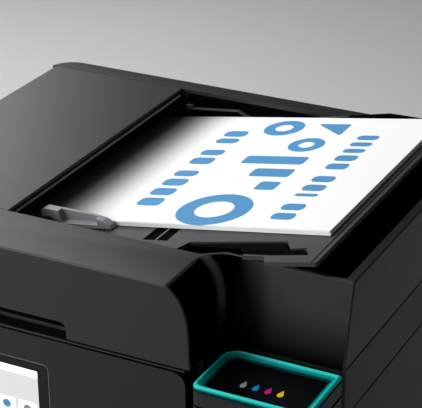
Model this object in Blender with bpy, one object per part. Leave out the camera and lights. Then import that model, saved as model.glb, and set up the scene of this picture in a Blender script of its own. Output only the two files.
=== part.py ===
"""A4 ink-tank office printer: sheet-fed scanner on top, refillable tanks at the front right.

The model stands on its feet at z = 0, faces -Y, and is centred on the origin.
Dimensions are written in millimetres and scaled to metres by the mesh helpers.
Depths are measured from the front face of the document cover, so y = FRONT + depth.
"""
import math

import bmesh
import bpy
from mathutils import Matrix, Vector

for old in list(bpy.data.objects):
    bpy.data.objects.remove(old, do_unlink=True)

MM = 0.001
GAP = 0.4

# Overall size
WIDTH = 375.0
HALF = WIDTH / 2
DEPTH = 347.0
FRONT = -161.5
TANK_DEPTH = -12.0
REAR_DEPTH = DEPTH + TANK_DEPTH

# Depths shared by several pieces
REAR_FACE = 316.0
REAR_INNER = 312.0
BEHIND = 330.0
BEZEL_BACK = 21.0

# Levels, bottom to top
FOOT_TOP = 4.0
PAN_TOP = 87.0
FRAME_BOTTOM = 88.0
CASSETTE_BOTTOM = 13.0
CASSETTE_TOP = 86.0
PANEL_BOTTOM = 190.0
PANEL_TOP = 268.0
SCANNER_BOTTOM = 236.7
DECK_TOP = 270.4
SCANNER_TOP = 272.2
BODY_TOP = SCANNER_BOTTOM - 0.6
ABOVE = 345.0
COVER_BOTTOM = 272.6
COVER_TOP = 330.0

# Scanner and document cover
SCANNER_FRONT = 43.0
COVER_REAR = 316.6
CORNER_RADIUS = 22.0
BAND = 48.0
RIM_RIGHT = 6.5
RECESS_REAR = 300.8
RECESS_FLOOR = 286.0
FEEDER_EDGE = -64.3
SHOULDER_X = 83.7
SHOULDER_FLARE = 16.2
SHOULDER_BEND = 5.4
NICHE_DEPTH = 56.0
NICHE_LEAN = 13.5
NICHE_SWEEP = 20.0
NICHE_SWEEP_LOSS = 3.0
SHOULDER_ROUND = 1.5
NICHE_EDGE_ROUND = 1.2
COVER_HINGE = (321.0, 277.5)
HINGE_BORE_RADIUS = 3.0
HINGE_PIN_RADIUS = 2.6
HINGE_EAR_RADIUS = 4.1
BORE_SPAN = (-180.0, 180.0)

# Feeder tray, tilted up towards +X
TILT = math.atan(0.169)
TRAY_HINGE_X = -76.0
TRAY_HINGE_Z = 302.8
TRAY_THICK = 3.0
TRAY_RIGHT = 165.5
SHEET_WIDTH = 208.0
SHEET_FRONT = 85.5
SHEET_STACK = 3.5
SHEET_RIGHT = 158.0
SHEET_LIFT = 0.3
GUIDE_LEFT = -56.0
GUIDE_WALL = 2.2
GUIDE_REACH = {"front": 7.0, "rear": 3.4}

# Ink tank unit
TANK_LEFT = 106.2
TANK_REAR = 41.0
TANK_BOTTOM = 90.0
TANK_LID_BOTTOM = 256.0
TANK_LID_TOP = 270.0
TANK_HINGE = (36.0, 268.6)
TANK_WALL = 2.6
INKS = ("black", "cyan", "magenta", "yellow")
INK_WIDTHS = (21.0, 15.5, 15.5, 15.5)

# Paper path
GEAR_TEETH = 20
GEAR_PITCH_RADIUS = 17.0
GEAR_AXIS_Z = 118.0
FEED_DEPTH = 150.0
IDLER_DEPTH = FEED_DEPTH - 2 * GEAR_PITCH_RADIUS
EXIT_DEPTH = IDLER_DEPTH - 2 * GEAR_PITCH_RADIUS

COLOURS = {
    "shell_black": ((0.028, 0.028, 0.030), 0.50, 0.0),
    "cover_grey": ((0.075, 0.074, 0.078), 0.45, 0.0),
    "gloss_black": ((0.008, 0.009, 0.011), 0.12, 0.0),
    "tray_grey": ((0.070, 0.070, 0.072), 0.50, 0.0),
    "guide_grey": ((0.240, 0.230, 0.260), 0.45, 0.0),
    "inner_black": ((0.012, 0.012, 0.013), 0.60, 0.0),
    "teal": ((0.010, 0.480, 0.400), 0.30, 0.0),
    "rubber": ((0.020, 0.020, 0.020), 0.85, 0.0),
    "steel": ((0.560, 0.570, 0.580), 0.30, 1.0),
    "white_pad": ((0.820, 0.820, 0.800), 0.60, 0.0),
    "paper": ((0.900, 0.900, 0.890), 0.80, 0.0),
    "glass": ((0.550, 0.600, 0.600), 0.05, 0.0),
    "screen": ((0.780, 0.790, 0.780), 0.15, 0.0),
    "black_ink": ((0.015, 0.015, 0.018), 0.25, 0.0),
    "cyan_ink": ((0.010, 0.320, 0.620), 0.25, 0.0),
    "magenta_ink": ((0.560, 0.020, 0.240), 0.25, 0.0),
    "yellow_ink": ((0.850, 0.620, 0.020), 0.25, 0.0),
}


# ---------------------------------------------------------------- helpers

def material(name):
    found = bpy.data.materials.get(name)
    if found:
        return found
    colour, roughness, metallic = COLOURS[name]
    made = bpy.data.materials.new(name)
    made.use_nodes = True
    shader = made.node_tree.nodes["Principled BSDF"]
    shader.inputs["Base Color"].default_value = (*colour, 1.0)
    shader.inputs["Roughness"].default_value = roughness
    shader.inputs["Metallic"].default_value = metallic
    return made


def add_mesh(name, bm, colour):
    """Turns a bmesh in millimetres into a smooth-shaded object with one material."""
    bmesh.ops.recalc_face_normals(bm, faces=bm.faces)
    bmesh.ops.scale(bm, vec=(MM, MM, MM), verts=bm.verts)
    mesh = bpy.data.meshes.new(name)
    bm.to_mesh(mesh)
    bm.free()
    mesh.shade_smooth()
    mesh.set_sharp_from_angle(angle=math.radians(35))
    mesh.materials.append(material(colour))
    item = bpy.data.objects.new(name, mesh)
    bpy.context.scene.collection.objects.link(item)
    return item


def fillet(corners, steps=5):
    """Outline through (x, y, radius) corners, each rounded by an arc."""
    points = []
    count = len(corners)
    for index, (x, y, radius) in enumerate(corners):
        here = Vector((x, y))
        if radius <= 0:
            points.append((x, y))
            continue
        before = (Vector(corners[index - 1][:2]) - here).normalized()
        after = (Vector(corners[(index + 1) % count][:2]) - here).normalized()
        half = before.angle(after) / 2
        centre = here + (before + after).normalized() * radius / math.sin(half)
        start = here + before * radius / math.tan(half) - centre
        end = here + after * radius / math.tan(half) - centre
        turn = start.angle_signed(end)
        for step in range(steps + 1):
            spoke = start.copy()
            spoke.rotate(Matrix.Rotation(-turn * step / steps, 2))
            points.append(tuple(centre + spoke))
    return points


def axes(axis):
    """Index of the outline's first, second and extrusion coordinate."""
    return {"X": (1, 2, 0), "Y": (0, 2, 1), "Z": (0, 1, 2)}[axis]


def loft(name, rings, levels, axis, colour):
    """Closed solid through outlines of equal length, one at each level along the axis."""
    first, second, along = axes(axis)
    bm = bmesh.new()
    loops = []
    for ring, level in zip(rings, levels):
        loop = []
        for a, b in ring:
            place = [0.0, 0.0, 0.0]
            place[first] = a
            place[second] = b
            place[along] = level
            loop.append(bm.verts.new(place))
        loops.append(loop)
    count = len(loops[0])
    for low, high in zip(loops, loops[1:]):
        for index in range(count):
            after = (index + 1) % count
            bm.faces.new((low[index], low[after], high[after], high[index]))
    bm.faces.new(loops[0])
    bm.faces.new(loops[-1])
    return add_mesh(name, bm, colour)


def prism(name, outline, span, axis, colour):
    """Outline extruded between the two ends of span."""
    return loft(name, [outline, outline], span, axis, colour)


def slab(name, x, y, z, colour):
    """Box between pairs of limits, with y given as a depth."""
    outline = [(x[0], FRONT + y[0]), (x[1], FRONT + y[0]), (x[1], FRONT + y[1]), (x[0], FRONT + y[1])]
    return prism(name, outline, z, "Z", colour)


def rounded_slab(name, x, y, z, radius, colour):
    """Box with rounded upright edges."""
    corners = [(x[0], y[0]), (x[1], y[0]), (x[1], y[1]), (x[0], y[1])]
    outline = fillet([(a, FRONT + b, radius) for a, b in corners], steps=4)
    return prism(name, outline, z, "Z", colour)


def turned(name, profile, centre, axis, colour, sides=20):
    """Solid of revolution: profile lists (station along the axis, radius)."""
    rings = []
    for _, radius in profile:
        ring = []
        for step in range(sides):
            angle = 2 * math.pi * step / sides
            ring.append((centre[0] + radius * math.cos(angle), centre[1] + radius * math.sin(angle)))
        rings.append(ring)
    return loft(name, rings, [station for station, _ in profile], axis, colour)


def combine(target, tool, operation):
    """Boolean with a tool object that stays in the file as a hidden guide."""
    tool.name = "tool_" + tool.name
    tool.hide_render = True
    tool.display_type = "WIRE"
    tool.hide_set(True)
    step = target.modifiers.new(operation.lower(), "BOOLEAN")
    step.operation = operation
    step.solver = "EXACT"
    step.object = tool


def cut(target, *tools):
    for tool in tools:
        combine(target, tool, "DIFFERENCE")


def join(target, *tools):
    for tool in tools:
        combine(target, tool, "UNION")


PIVOTS = {}


def pivot(name, place, parent=None):
    """Empty on a joint's axis; place is (x, depth, z)."""
    empty = bpy.data.objects.new(name, None)
    empty.empty_display_size = 0.02
    bpy.context.scene.collection.objects.link(empty)
    spot = Vector((place[0], FRONT + place[1], place[2])) * MM
    empty.location = spot
    PIVOTS[name] = spot
    if parent:
        hang(empty, parent)
    return empty


def hang(item, parent):
    """Parents an item to a pivot without moving it."""
    item.parent = bpy.data.objects[parent]
    item.matrix_parent_inverse = Matrix.Translation(-PIVOTS[parent])


def gear_outline(centre, phase):
    """Spur gear outline with straight-sided teeth."""
    module = 2 * GEAR_PITCH_RADIUS / GEAR_TEETH
    root = GEAR_PITCH_RADIUS - 1.25 * module
    tip = GEAR_PITCH_RADIUS + 0.9 * module
    pitch_angle = 2 * math.pi / GEAR_TEETH
    points = []
    for tooth in range(GEAR_TEETH):
        middle = tooth * pitch_angle + phase
        for radius, share in ((root, -0.25), (tip, -0.11), (tip, 0.11), (root, 0.25)):
            angle = middle + share * pitch_angle
            points.append((centre[0] + radius * math.cos(angle), centre[1] + radius * math.sin(angle)))
    return points


# ---------------------------------------------------------------- lower body

def build_base():
    """Bottom pan with side channels, and a rubber foot under each corner."""
    outer = (-184, 184)
    inner = (-179, 179)
    floor_top = 9.0
    pan = slab("base_pan", outer, (15, 311), (FOOT_TOP + GAP, PAN_TOP), "inner_black")
    cut(pan, slab("pan_well", inner, (0, BEHIND), (floor_top, PAN_TOP + 10), "inner_black"))
    foot_x = 150.0
    foot_depths = {"front": 40.0, "rear": 280.0}
    foot_profile = ((0.0, 8.0), (FOOT_TOP, 9.5))
    for end, depth in foot_depths.items():
        for side, x in (("left", -foot_x), ("right", foot_x)):
            turned(f"foot_{end}_{side}", foot_profile, (x, FRONT + depth), "Z", "rubber", 16)


def build_side_covers():
    """Outer side panels; above the cassette they stop behind the bezel and the ink tank unit."""
    skin = 3.0
    bottom = 6.0
    drawer_back = 14.6
    step = CASSETTE_TOP + 1.4
    covers = []
    rows = (("side_cover_left", -1, BEZEL_BACK + 1.0), ("side_cover_right", 1, TANK_REAR + 1.0))
    for name, side, front in rows:
        outline = [
            (drawer_back, bottom), (REAR_FACE, bottom), (REAR_FACE, BODY_TOP),
            (front, BODY_TOP), (front, step), (drawer_back, step),
        ]
        span = sorted((side * (HALF - skin), side * HALF))
        profile = [(FRONT + depth, z) for depth, z in outline]
        covers.append(prism(name, profile, span, "X", "shell_black"))
    left, right = covers
    grip_depth = (120, 190)
    grip_height = (30, 44)
    reach = 10.0
    for cover, side in ((left, -1), (right, 1)):
        across = sorted((side * (HALF - reach), side * (HALF + reach)))
        cut(cover, slab(cover.name + "_grip", across, grip_depth, grip_height, "shell_black"))


def build_rear():
    """Rear panel with its openings, the removable rear cover, sockets and waste box."""
    panel = slab("rear_panel", (-183.6, 183.6), (REAR_INNER, REAR_FACE), (8, BODY_TOP), "shell_black")
    openings = (
        ("rear_door", (-112, 112), (96, 204)),
        ("waste_door", (-172, -122), (96, 152)),
        ("mains_hole", (136, 166), (24, 48)),
        ("usb_hole", (-150, -136), (184, 198)),
        ("network_hole", (-172, -155), (184, 199)),
        ("cassette_hole", (-127, 127), (0, 78)),
    )
    for name, x, z in openings:
        cut(panel, slab(name, x, (300, BEHIND), z, "shell_black"))
    build_rear_cover()

    box_rear = REAR_FACE + 2.0
    waste = slab("maintenance_box", (-171, -123), (246, box_rear), (97, 151), "cover_grey")
    cut(waste, slab("waste_grip", (-160, -134), (box_rear - 5, BEHIND), (138, 146), "cover_grey"))
    pivot("maintenance_box_slide", (-147, box_rear, 124))
    hang(waste, "maintenance_box_slide")

    socket_rear = REAR_FACE + 0.5
    inlet = slab("mains_inlet", (136.5, 165.5), (290, socket_rear), (24.5, 47.5), "inner_black")
    cut(inlet, rounded_slab("inlet_mouth", (140, 162), (298, BEHIND), (28, 44), 0.5, "inner_black"))
    body_front = 300.0
    mouth = (304.0, BEHIND)
    usb = slab("usb_port", (-149.5, -136.5), (body_front, socket_rear), (184.5, 197.5), "steel")
    cut(usb, slab("usb_mouth", (-147.5, -138.5), mouth, (187, 195), "steel"))
    network = slab("network_port", (-171.5, -155.5), (body_front, socket_rear), (184.5, 198.5), "steel")
    cut(network, slab("network_mouth", (-169.5, -157.5), mouth, (187, 196), "steel"))


def build_rear_cover():
    """Removable duplex cover: a hollow box with a chamfered outer face."""
    half = 111.0
    low, high = 97.0, 203.0
    chamfer = 4.0
    wall = 6.0
    bottom, top = low + 7.0, high - 7.0
    corners = [(-half, low, 6), (half, low, 6), (half, high, 6), (-half, high, 6)]
    flat = half - chamfer
    inset = [
        (-flat, low + chamfer, 4), (flat, low + chamfer, 4),
        (flat, high - chamfer, 4), (-flat, high - chamfer, 4),
    ]
    rings = [fillet(corners), fillet(corners), fillet(inset)]
    stations = [FRONT + 302, FRONT + REAR_DEPTH - chamfer, FRONT + REAR_DEPTH]
    cover = loft("rear_cover", rings, stations, "Y", "shell_black")
    inside = (wall - half, half - wall)
    cut(cover, slab("rear_cover_hollow", inside, (290, REAR_DEPTH - wall), (bottom, top), "shell_black"))
    pivot("rear_cover_slide", (0, REAR_DEPTH, (low + high) / 2))
    hang(cover, "rear_cover_slide")


def build_front_frame():
    """Front bezel around the paper outlet, behind the control panel above it."""
    frame_top = PANEL_BOTTOM - 2.5
    frame = slab("front_frame", (-HALF, 105), (2, BEZEL_BACK), (FRAME_BOTTOM, frame_top), "shell_black")
    cut(frame, slab("outlet", (-158, 96), (-10, 40), (98, 172), "shell_black"))
    deck_right = 99.0
    front, rear = 19.5, 23.5
    backing_z = (176, SCANNER_BOTTOM + 4)
    backing = slab("panel_backing", (-184, deck_right), (front, rear), backing_z, "shell_black")
    deck_depth = (front, SCANNER_FRONT - 0.6)
    deck = slab("front_deck", (-HALF, deck_right), deck_depth, (SCANNER_BOTTOM, DECK_TOP), "shell_black")
    inside = (-180, deck_right - 5)
    deck_hollow = slab("deck_hollow", inside, (rear, 38), (230, DECK_TOP - 3), "shell_black")
    join(frame, backing, deck)
    cut(frame, deck_hollow)


def build_chassis():
    """Sheet-metal channel that carries the rail, rollers and motor."""
    half = 176.0
    floor = 90.0
    sheet = 1.6
    chassis = slab("chassis_frame", (-half, half), (60, 298), (floor, 226), "steel")
    span = (sheet - half, half - sheet)
    inside = slab("chassis_inside", span, (50, BEHIND), (floor + sheet, 260), "steel")
    waste_bay = slab("waste_bay", (-190, -121), (240, BEHIND), (80, 160), "steel")
    cut(chassis, inside, waste_bay)
    slab("platen", (-125, 110), (92, 124), (108, 113), "inner_black")
    slab("carriage_rail", (-160, 160), (176, 186), (160, 178), "steel")
    build_carriage_drive()


def build_carriage_drive():
    """Motor with its pulley, and the belt loop that passes round it."""
    depth = 210.0
    centre = (-140, FRONT + depth)
    motor = turned("carriage_motor", ((166, 15), (196, 15)), centre, "Z", "steel")
    join(motor, turned("motor_pulley", ((190, 5), (204, 5)), centre, "Z", "steel"))
    left, right = -147.0, 150.0
    reach = 7.0
    thick = 1.4
    loops = []
    for inset, radius in ((0.0, 6.6), (thick, 5.5)):
        near = FRONT + depth - reach + inset
        far = FRONT + depth + reach - inset
        ends = (left + inset, right - inset)
        places = ((ends[0], near), (ends[1], near), (ends[1], far), (ends[0], far))
        corners = [(*place, radius) for place in places]
        loops.append(fillet(corners, steps=4))
    belt = prism("carriage_belt", loops[0], (197, 202), "Z", "rubber")
    cut(belt, prism("belt_inside", loops[1], (190, 210), "Z", "rubber"))


def build_print_parts():
    """Print head carriage and the geared roller train."""
    head = slab("print_carriage", (78, 156), (92, 173), (132, 184), "inner_black")
    join(head, slab("head_nozzles", (84, 150), (94, 136), (117, 140), "inner_black"))
    cut(head, slab("head_well", (84, 150), (98, 160), (142, 200), "inner_black"))
    pivot("print_carriage_slide", (117, 134, 150))
    hang(head, "print_carriage_slide")

    gear_span = (-168.0, -161.0)
    axle = 3.0
    axle_end = 172.0
    rubber_end = 122.0
    shoulder = rubber_end + 2.0
    rollers = (("feed_roller", FEED_DEPTH, 9.0), ("exit_roller", EXIT_DEPTH, 6.0))
    for name, depth, radius in rollers:
        profile = (
            (-axle_end, axle), (-shoulder, axle), (-rubber_end, radius),
            (rubber_end, radius), (shoulder, axle), (axle_end, axle),
        )
        centre = (FRONT + depth, GEAR_AXIS_Z)
        roller = turned(name, profile, centre, "X", "rubber", 16)
        join(roller, prism(name + "_gear", gear_outline(centre, 0.0), gear_span, "X", "rubber"))
        pivot(name + "_spin", (0, depth, GEAR_AXIS_Z))
        hang(roller, name + "_spin")

    centre = (FRONT + IDLER_DEPTH, GEAR_AXIS_Z)
    idler = prism("idler_gear", gear_outline(centre, math.pi / GEAR_TEETH), gear_span, "X", "white_pad")
    join(idler, turned("idler_stub", ((-173, 3.5), (-158, 3.5)), centre, "X", "white_pad", 12))
    pivot("idler_gear_spin", (-164, IDLER_DEPTH, GEAR_AXIS_Z))
    hang(idler, "idler_gear_spin")


def build_output_tray():
    """Two-stage output tray with a flip-up stop, stored inside the outlet."""
    middle = -31.0

    def centred(half):
        return (middle - half, middle + half)

    tray = slab("output_tray", centred(119), (4, 190), (99.4, 104), "shell_black")
    cut(tray, slab("tray_channel", centred(81), (-10, 172), (98, 101.8), "shell_black"))
    cut(tray, slab("stop_window", centred(23), (-10, 32), (97, 110), "shell_black"))
    pivot("output_tray_slide", (middle, 4, 101))
    hang(tray, "output_tray_slide")

    extension = slab("output_tray_extension", centred(80), (4.6, 170), (98.6, 101.4), "shell_black")
    cut(extension, slab("stop_pocket", centred(21), (0, 30), (97, 103), "shell_black"))
    pivot("output_extension_slide", (middle, 5, 100), "output_tray_slide")
    hang(extension, "output_extension_slide")

    stop = slab("output_stopper", centred(20), (5.4, 29), (98.9, 101.1), "shell_black")
    pivot("output_stopper_flip", (middle, 28.0, 100), "output_extension_slide")
    hang(stop, "output_stopper_flip")


def build_cassette():
    """Paper drawer that pulls out to the front, with two coupled width guides."""
    half = 125.0
    wall = 5.0
    front_back = 14.0
    box_front, box_rear = front_back + GAP, 315.0
    box = slab("paper_cassette", (-half, half), (box_front, box_rear), (CASSETTE_BOTTOM, 72), "shell_black")
    inside = (wall - half, half - wall)
    cut(box, slab("cassette_well", inside, (20, box_rear - wall), (17, 100), "shell_black"))
    cut(box, slab("guide_slots", (-118, 118), (150, 158), (10, 40), "shell_black"))
    width = (0.3 - HALF, HALF - 0.3)
    height = (CASSETTE_BOTTOM - 6, CASSETTE_TOP)
    front = rounded_slab("cassette_front_panel", width, (1, front_back), height, 3.0, "shell_black")
    cut(front, slab("cassette_grip", (-42, 42), (-5, 10), (CASSETTE_BOTTOM - 12, 30), "shell_black"))
    pivot("cassette_slide", (0, 14, 43))
    hang(box, "cassette_slide")
    hang(front, "cassette_slide")
    for side, sign in (("left", -1), ("right", 1)):
        wall = sorted((sign * 107.0, sign * 110.0))
        foot = sorted((sign * 90.0, sign * 107.5))
        guide = slab(f"cassette_guide_{side}", wall, (110, 200), (17.5, 58), "guide_grey")
        join(guide, slab(f"guide_foot_{side}", foot, (125, 185), (17.5, 20), "guide_grey"))
        pivot(f"cassette_guide_{side}_slide", (sign * 108, 155, 20), "cassette_slide")
        hang(guide, f"cassette_guide_{side}_slide")


# ---------------------------------------------------------------- control panel and ink

def screen_corners(inset):
    """Corners of the screen window, pulled in by inset."""
    left, right = inset - 73.5, -7.4 - inset
    low, high = 196.5 + inset, 247.9 - inset
    radius = 4.0 - inset
    return [(left, low, radius), (right, low, radius), (right, high, radius), (left, high, radius)]


def build_control_panel():
    """Tilting panel with a touch screen and a sprung power button."""
    left, right = 0.5 - HALF, 96.0
    corners = [(left, PANEL_BOTTOM, 3), (right, PANEL_BOTTOM, 3), (right, PANEL_TOP, 9), (left, PANEL_TOP, 3)]
    panel = prism("control_panel", fillet(corners), (FRONT + 0.5, FRONT + 18.5), "Y", "shell_black")
    wall = 5.0
    inside = (PANEL_BOTTOM + wall, PANEL_TOP - wall)
    hollow = slab("panel_hollow", (left + wall, right - 4), (6, 30), inside, "shell_black")
    through = (FRONT - 10, FRONT + 12)
    window = prism("screen_window", fillet(screen_corners(0.0)), through, "Y", "shell_black")
    key = (-160.0, 229.0)
    key_radius = 6.6
    well_ends = [(station, key_radius + GAP) for station in through]
    well = turned("button_well", well_ends, key, "Y", "shell_black")
    cut(panel, hollow, window, well)
    pivot("control_panel_tilt", (-46, 4.5, 263))
    hang(panel, "control_panel_tilt")

    glass = fillet(screen_corners(GAP))
    screen = prism("touch_screen", glass, (FRONT + 1.2, FRONT + 5.6), "Y", "screen")
    hang(screen, "control_panel_tilt")

    profile = ((FRONT + 0.6, key_radius - 0.4), (FRONT + 1.2, key_radius), (FRONT + 8, key_radius))
    button = turned("power_button", profile, key, "Y", "gloss_black")
    pivot("power_button_press", (key[0], 1, key[1]), "control_panel_tilt")
    hang(button, "power_button_press")


def tank_corners(inset, rear):
    """Plan of the ink tank unit: a rounded rear-left corner follows the niche above it."""
    left = TANK_LEFT + inset
    right = HALF - 0.3 - inset
    front = FRONT + TANK_DEPTH + inset
    back = FRONT + rear - inset
    return [(left, front, 5), (right, front, 5), (right, back, 1.5), (left, back, 12.5 - inset)]


def build_ink_unit():
    """Tank housing with a level window, four tanks with plugs, and the lid over them."""
    body = tank_corners(0.0, TANK_REAR)
    height = (TANK_BOTTOM, TANK_LID_BOTTOM - 1.2)
    housing = prism("ink_tank_housing", fillet(body), height, "Z", "shell_black")
    inside = fillet(tank_corners(TANK_WALL, TANK_REAR))
    bay = prism("tank_bay", inside, (TANK_BOTTOM + 4, 300), "Z", "shell_black")
    left, right = 114.0, 180.0
    low, high = 112.0, 196.0
    window = slab("window_hole", (left, right), (TANK_DEPTH - 5, 0), (low, high), "shell_black")
    cut(housing, bay, window)
    pane_depth = (TANK_DEPTH + 0.2, TANK_DEPTH + 2.4)
    slab("ink_level_window", (left + GAP, right - GAP), pane_depth, (low + GAP, high - GAP), "glass")

    left = TANK_LEFT + 4.0
    tank_z = (98.0, 224.0)
    spout_top = 233.0
    cap_top = 241.0
    depth_span = (-7.0, 24.0)
    spout_depth = 9.0
    for ink, width in zip(INKS, INK_WIDTHS):
        span = (left, left + width)
        centre = (left + width / 2, FRONT + spout_depth)
        tank = slab(f"ink_tank_{ink}", span, depth_span, tank_z, f"{ink}_ink")
        spout_ends = ((tank_z[1] - 4, 4.6), (spout_top, 4.6))
        spout = turned(f"spout_{ink}", spout_ends, centre, "Z", f"{ink}_ink", 16)
        join(tank, spout)
        cap_profile = ((spout_top + GAP, 6.4), (cap_top - 1, 6.4), (cap_top, 5.4))
        cap = turned(f"tank_cap_{ink}", cap_profile, centre, "Z", "rubber", 16)
        strap_x = (centre[0] - 2.5, centre[0] + 2.5)
        strap_z = (spout_top + 1, spout_top + 3)
        join(cap, slab(f"strap_{ink}", strap_x, (14, 21), strap_z, "rubber"))
        pivot(f"tank_cap_{ink}_hinge", (centre[0], 20.0, spout_top + 2))
        hang(cap, f"tank_cap_{ink}_hinge")
        left += width + 1.2


def build_ink_lid():
    """Rear-hinged lid: dark inset, teal rim, hollow underneath."""
    plan = fillet(tank_corners(0.1, TANK_REAR + 0.2))
    inset_top = TANK_LID_TOP - 0.8
    groove_floor = 266.0
    lid = prism("ink_tank_lid", plan, (TANK_LID_BOTTOM, inset_top), "Z", "gloss_black")
    hollow_plan = fillet(tank_corners(3.0, TANK_REAR))
    hollow = prism("lid_hollow", hollow_plan, (240, groove_floor - 1.5), "Z", "gloss_black")
    groove_plan = fillet(tank_corners(-3.0, TANK_REAR))
    groove = prism("rim_groove", groove_plan, (groove_floor, 280), "Z", "gloss_black")
    island_plan = fillet(tank_corners(5.6, TANK_REAR))
    island = prism("lid_island", island_plan, (groove_floor - 1, inset_top), "Z", "gloss_black")
    cut(lid, hollow, groove)
    join(lid, island)
    rim = prism("ink_lid_rim", plan, (groove_floor + GAP, TANK_LID_TOP), "Z", "teal")
    cut(rim, prism("rim_inside", fillet(tank_corners(5.2, TANK_REAR)), (250, 290), "Z", "teal"))
    pivot("ink_lid_hinge", (147, TANK_HINGE[0], TANK_HINGE[1]))
    hang(lid, "ink_lid_hinge")
    hang(rim, "ink_lid_hinge")


# ---------------------------------------------------------------- scanner and document cover

def build_scanner():
    """Flatbed unit that lifts off the body, with its glass and moving sensor bar."""
    corners = [
        (-HALF, SCANNER_FRONT, 3), (HALF, SCANNER_FRONT, 3),
        (HALF, COVER_REAR, 20), (-HALF, COVER_REAR, 20),
    ]
    outline = fillet([(x, FRONT + depth, radius) for x, depth, radius in corners], steps=4)
    bed = prism("scanner_base", outline, (SCANNER_BOTTOM, SCANNER_TOP), "Z", "shell_black")
    well_half = 172.0
    above_bed = 290.0
    glass_x = (-164.0, 149.0)
    glass_depth = (62.0, 294.0)
    glass_z = 269.4
    ledge = 4.0
    window_x = (glass_x[0] + ledge, glass_x[1] - ledge)
    window_depth = (glass_depth[0] + ledge, glass_depth[1] - ledge)
    well = slab("sensor_well", (-well_half, well_half), (58, 302), (SCANNER_BOTTOM + 4, 266), "shell_black")
    window = slab("glass_window", window_x, window_depth, (260, above_bed), "shell_black")
    seat = slab("glass_seat", glass_x, glass_depth, (glass_z, above_bed), "shell_black")
    cut(bed, well, window, seat)
    axis = (FRONT + COVER_HINGE[0], COVER_HINGE[1])
    for side in (-1, 1):
        lug_span = sorted((side * 118, side * 130))
        join(bed, slab("lug_root", lug_span, (310, 325.5), (250, 270), "shell_black"))
        join(bed, slab("lug_ear", lug_span, (317.2, 325.0), (268, COVER_HINGE[1]), "shell_black"))
        ear_round = [(station, HINGE_EAR_RADIUS) for station in lug_span]
        join(bed, turned("lug_round", ear_round, axis, "X", "shell_black", 16))
    bore_ends = [(station, HINGE_BORE_RADIUS) for station in BORE_SPAN]
    cut(bed, turned("hinge_bore", bore_ends, axis, "X", "shell_black", 12))

    pane_x = (glass_x[0] + GAP, glass_x[1] - GAP)
    pane_depth = (glass_depth[0] + GAP, glass_depth[1] - GAP)
    glass = slab("scanner_glass", pane_x, pane_depth, (glass_z + GAP, SCANNER_TOP - 0.2), "glass")
    sensor = slab("scan_carriage", (-168, -134), (70, 290), (246, 262), "inner_black")
    rod_depth = 178.0
    rod_ends = ((GAP - well_half, 2.5), (well_half - GAP, 2.5))
    rod = turned("scan_rod", rod_ends, (FRONT + rod_depth, 243.4), "X", "steel", 10)
    pivot("scanner_lift", (0, 318, SCANNER_BOTTOM))
    pivot("scan_carriage_slide", (-151, rod_depth, 250), "scanner_lift")
    for item in (bed, glass, rod):
        hang(item, "scanner_lift")
    hang(sensor, "scan_carriage_slide")


def cover_ring(drop, inset):
    """Cover outline at a share `drop` of the way down, pulled in by `inset`.

    The front right corner is cut away in an S: the wall of this niche leans back and
    the shoulder beside it swells towards the bottom.
    """
    shoulder = SHOULDER_X + SHOULDER_FLARE * (1 - math.exp(-SHOULDER_BEND * drop))
    niche = NICHE_DEPTH - NICHE_LEAN * drop
    sweep = NICHE_SWEEP - NICHE_SWEEP_LOSS * drop
    side = HALF - inset
    back = FRONT + COVER_REAR - inset
    front = FRONT + inset
    return fillet([
        (-side, front, CORNER_RADIUS - inset),
        (shoulder - inset, front, SHOULDER_ROUND),
        (shoulder - inset, FRONT + niche + inset, sweep + inset),
        (side, FRONT + niche + inset, NICHE_EDGE_ROUND),
        (side, back, CORNER_RADIUS - inset),
        (-side, back, CORNER_RADIUS - inset),
    ], steps=6)


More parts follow.
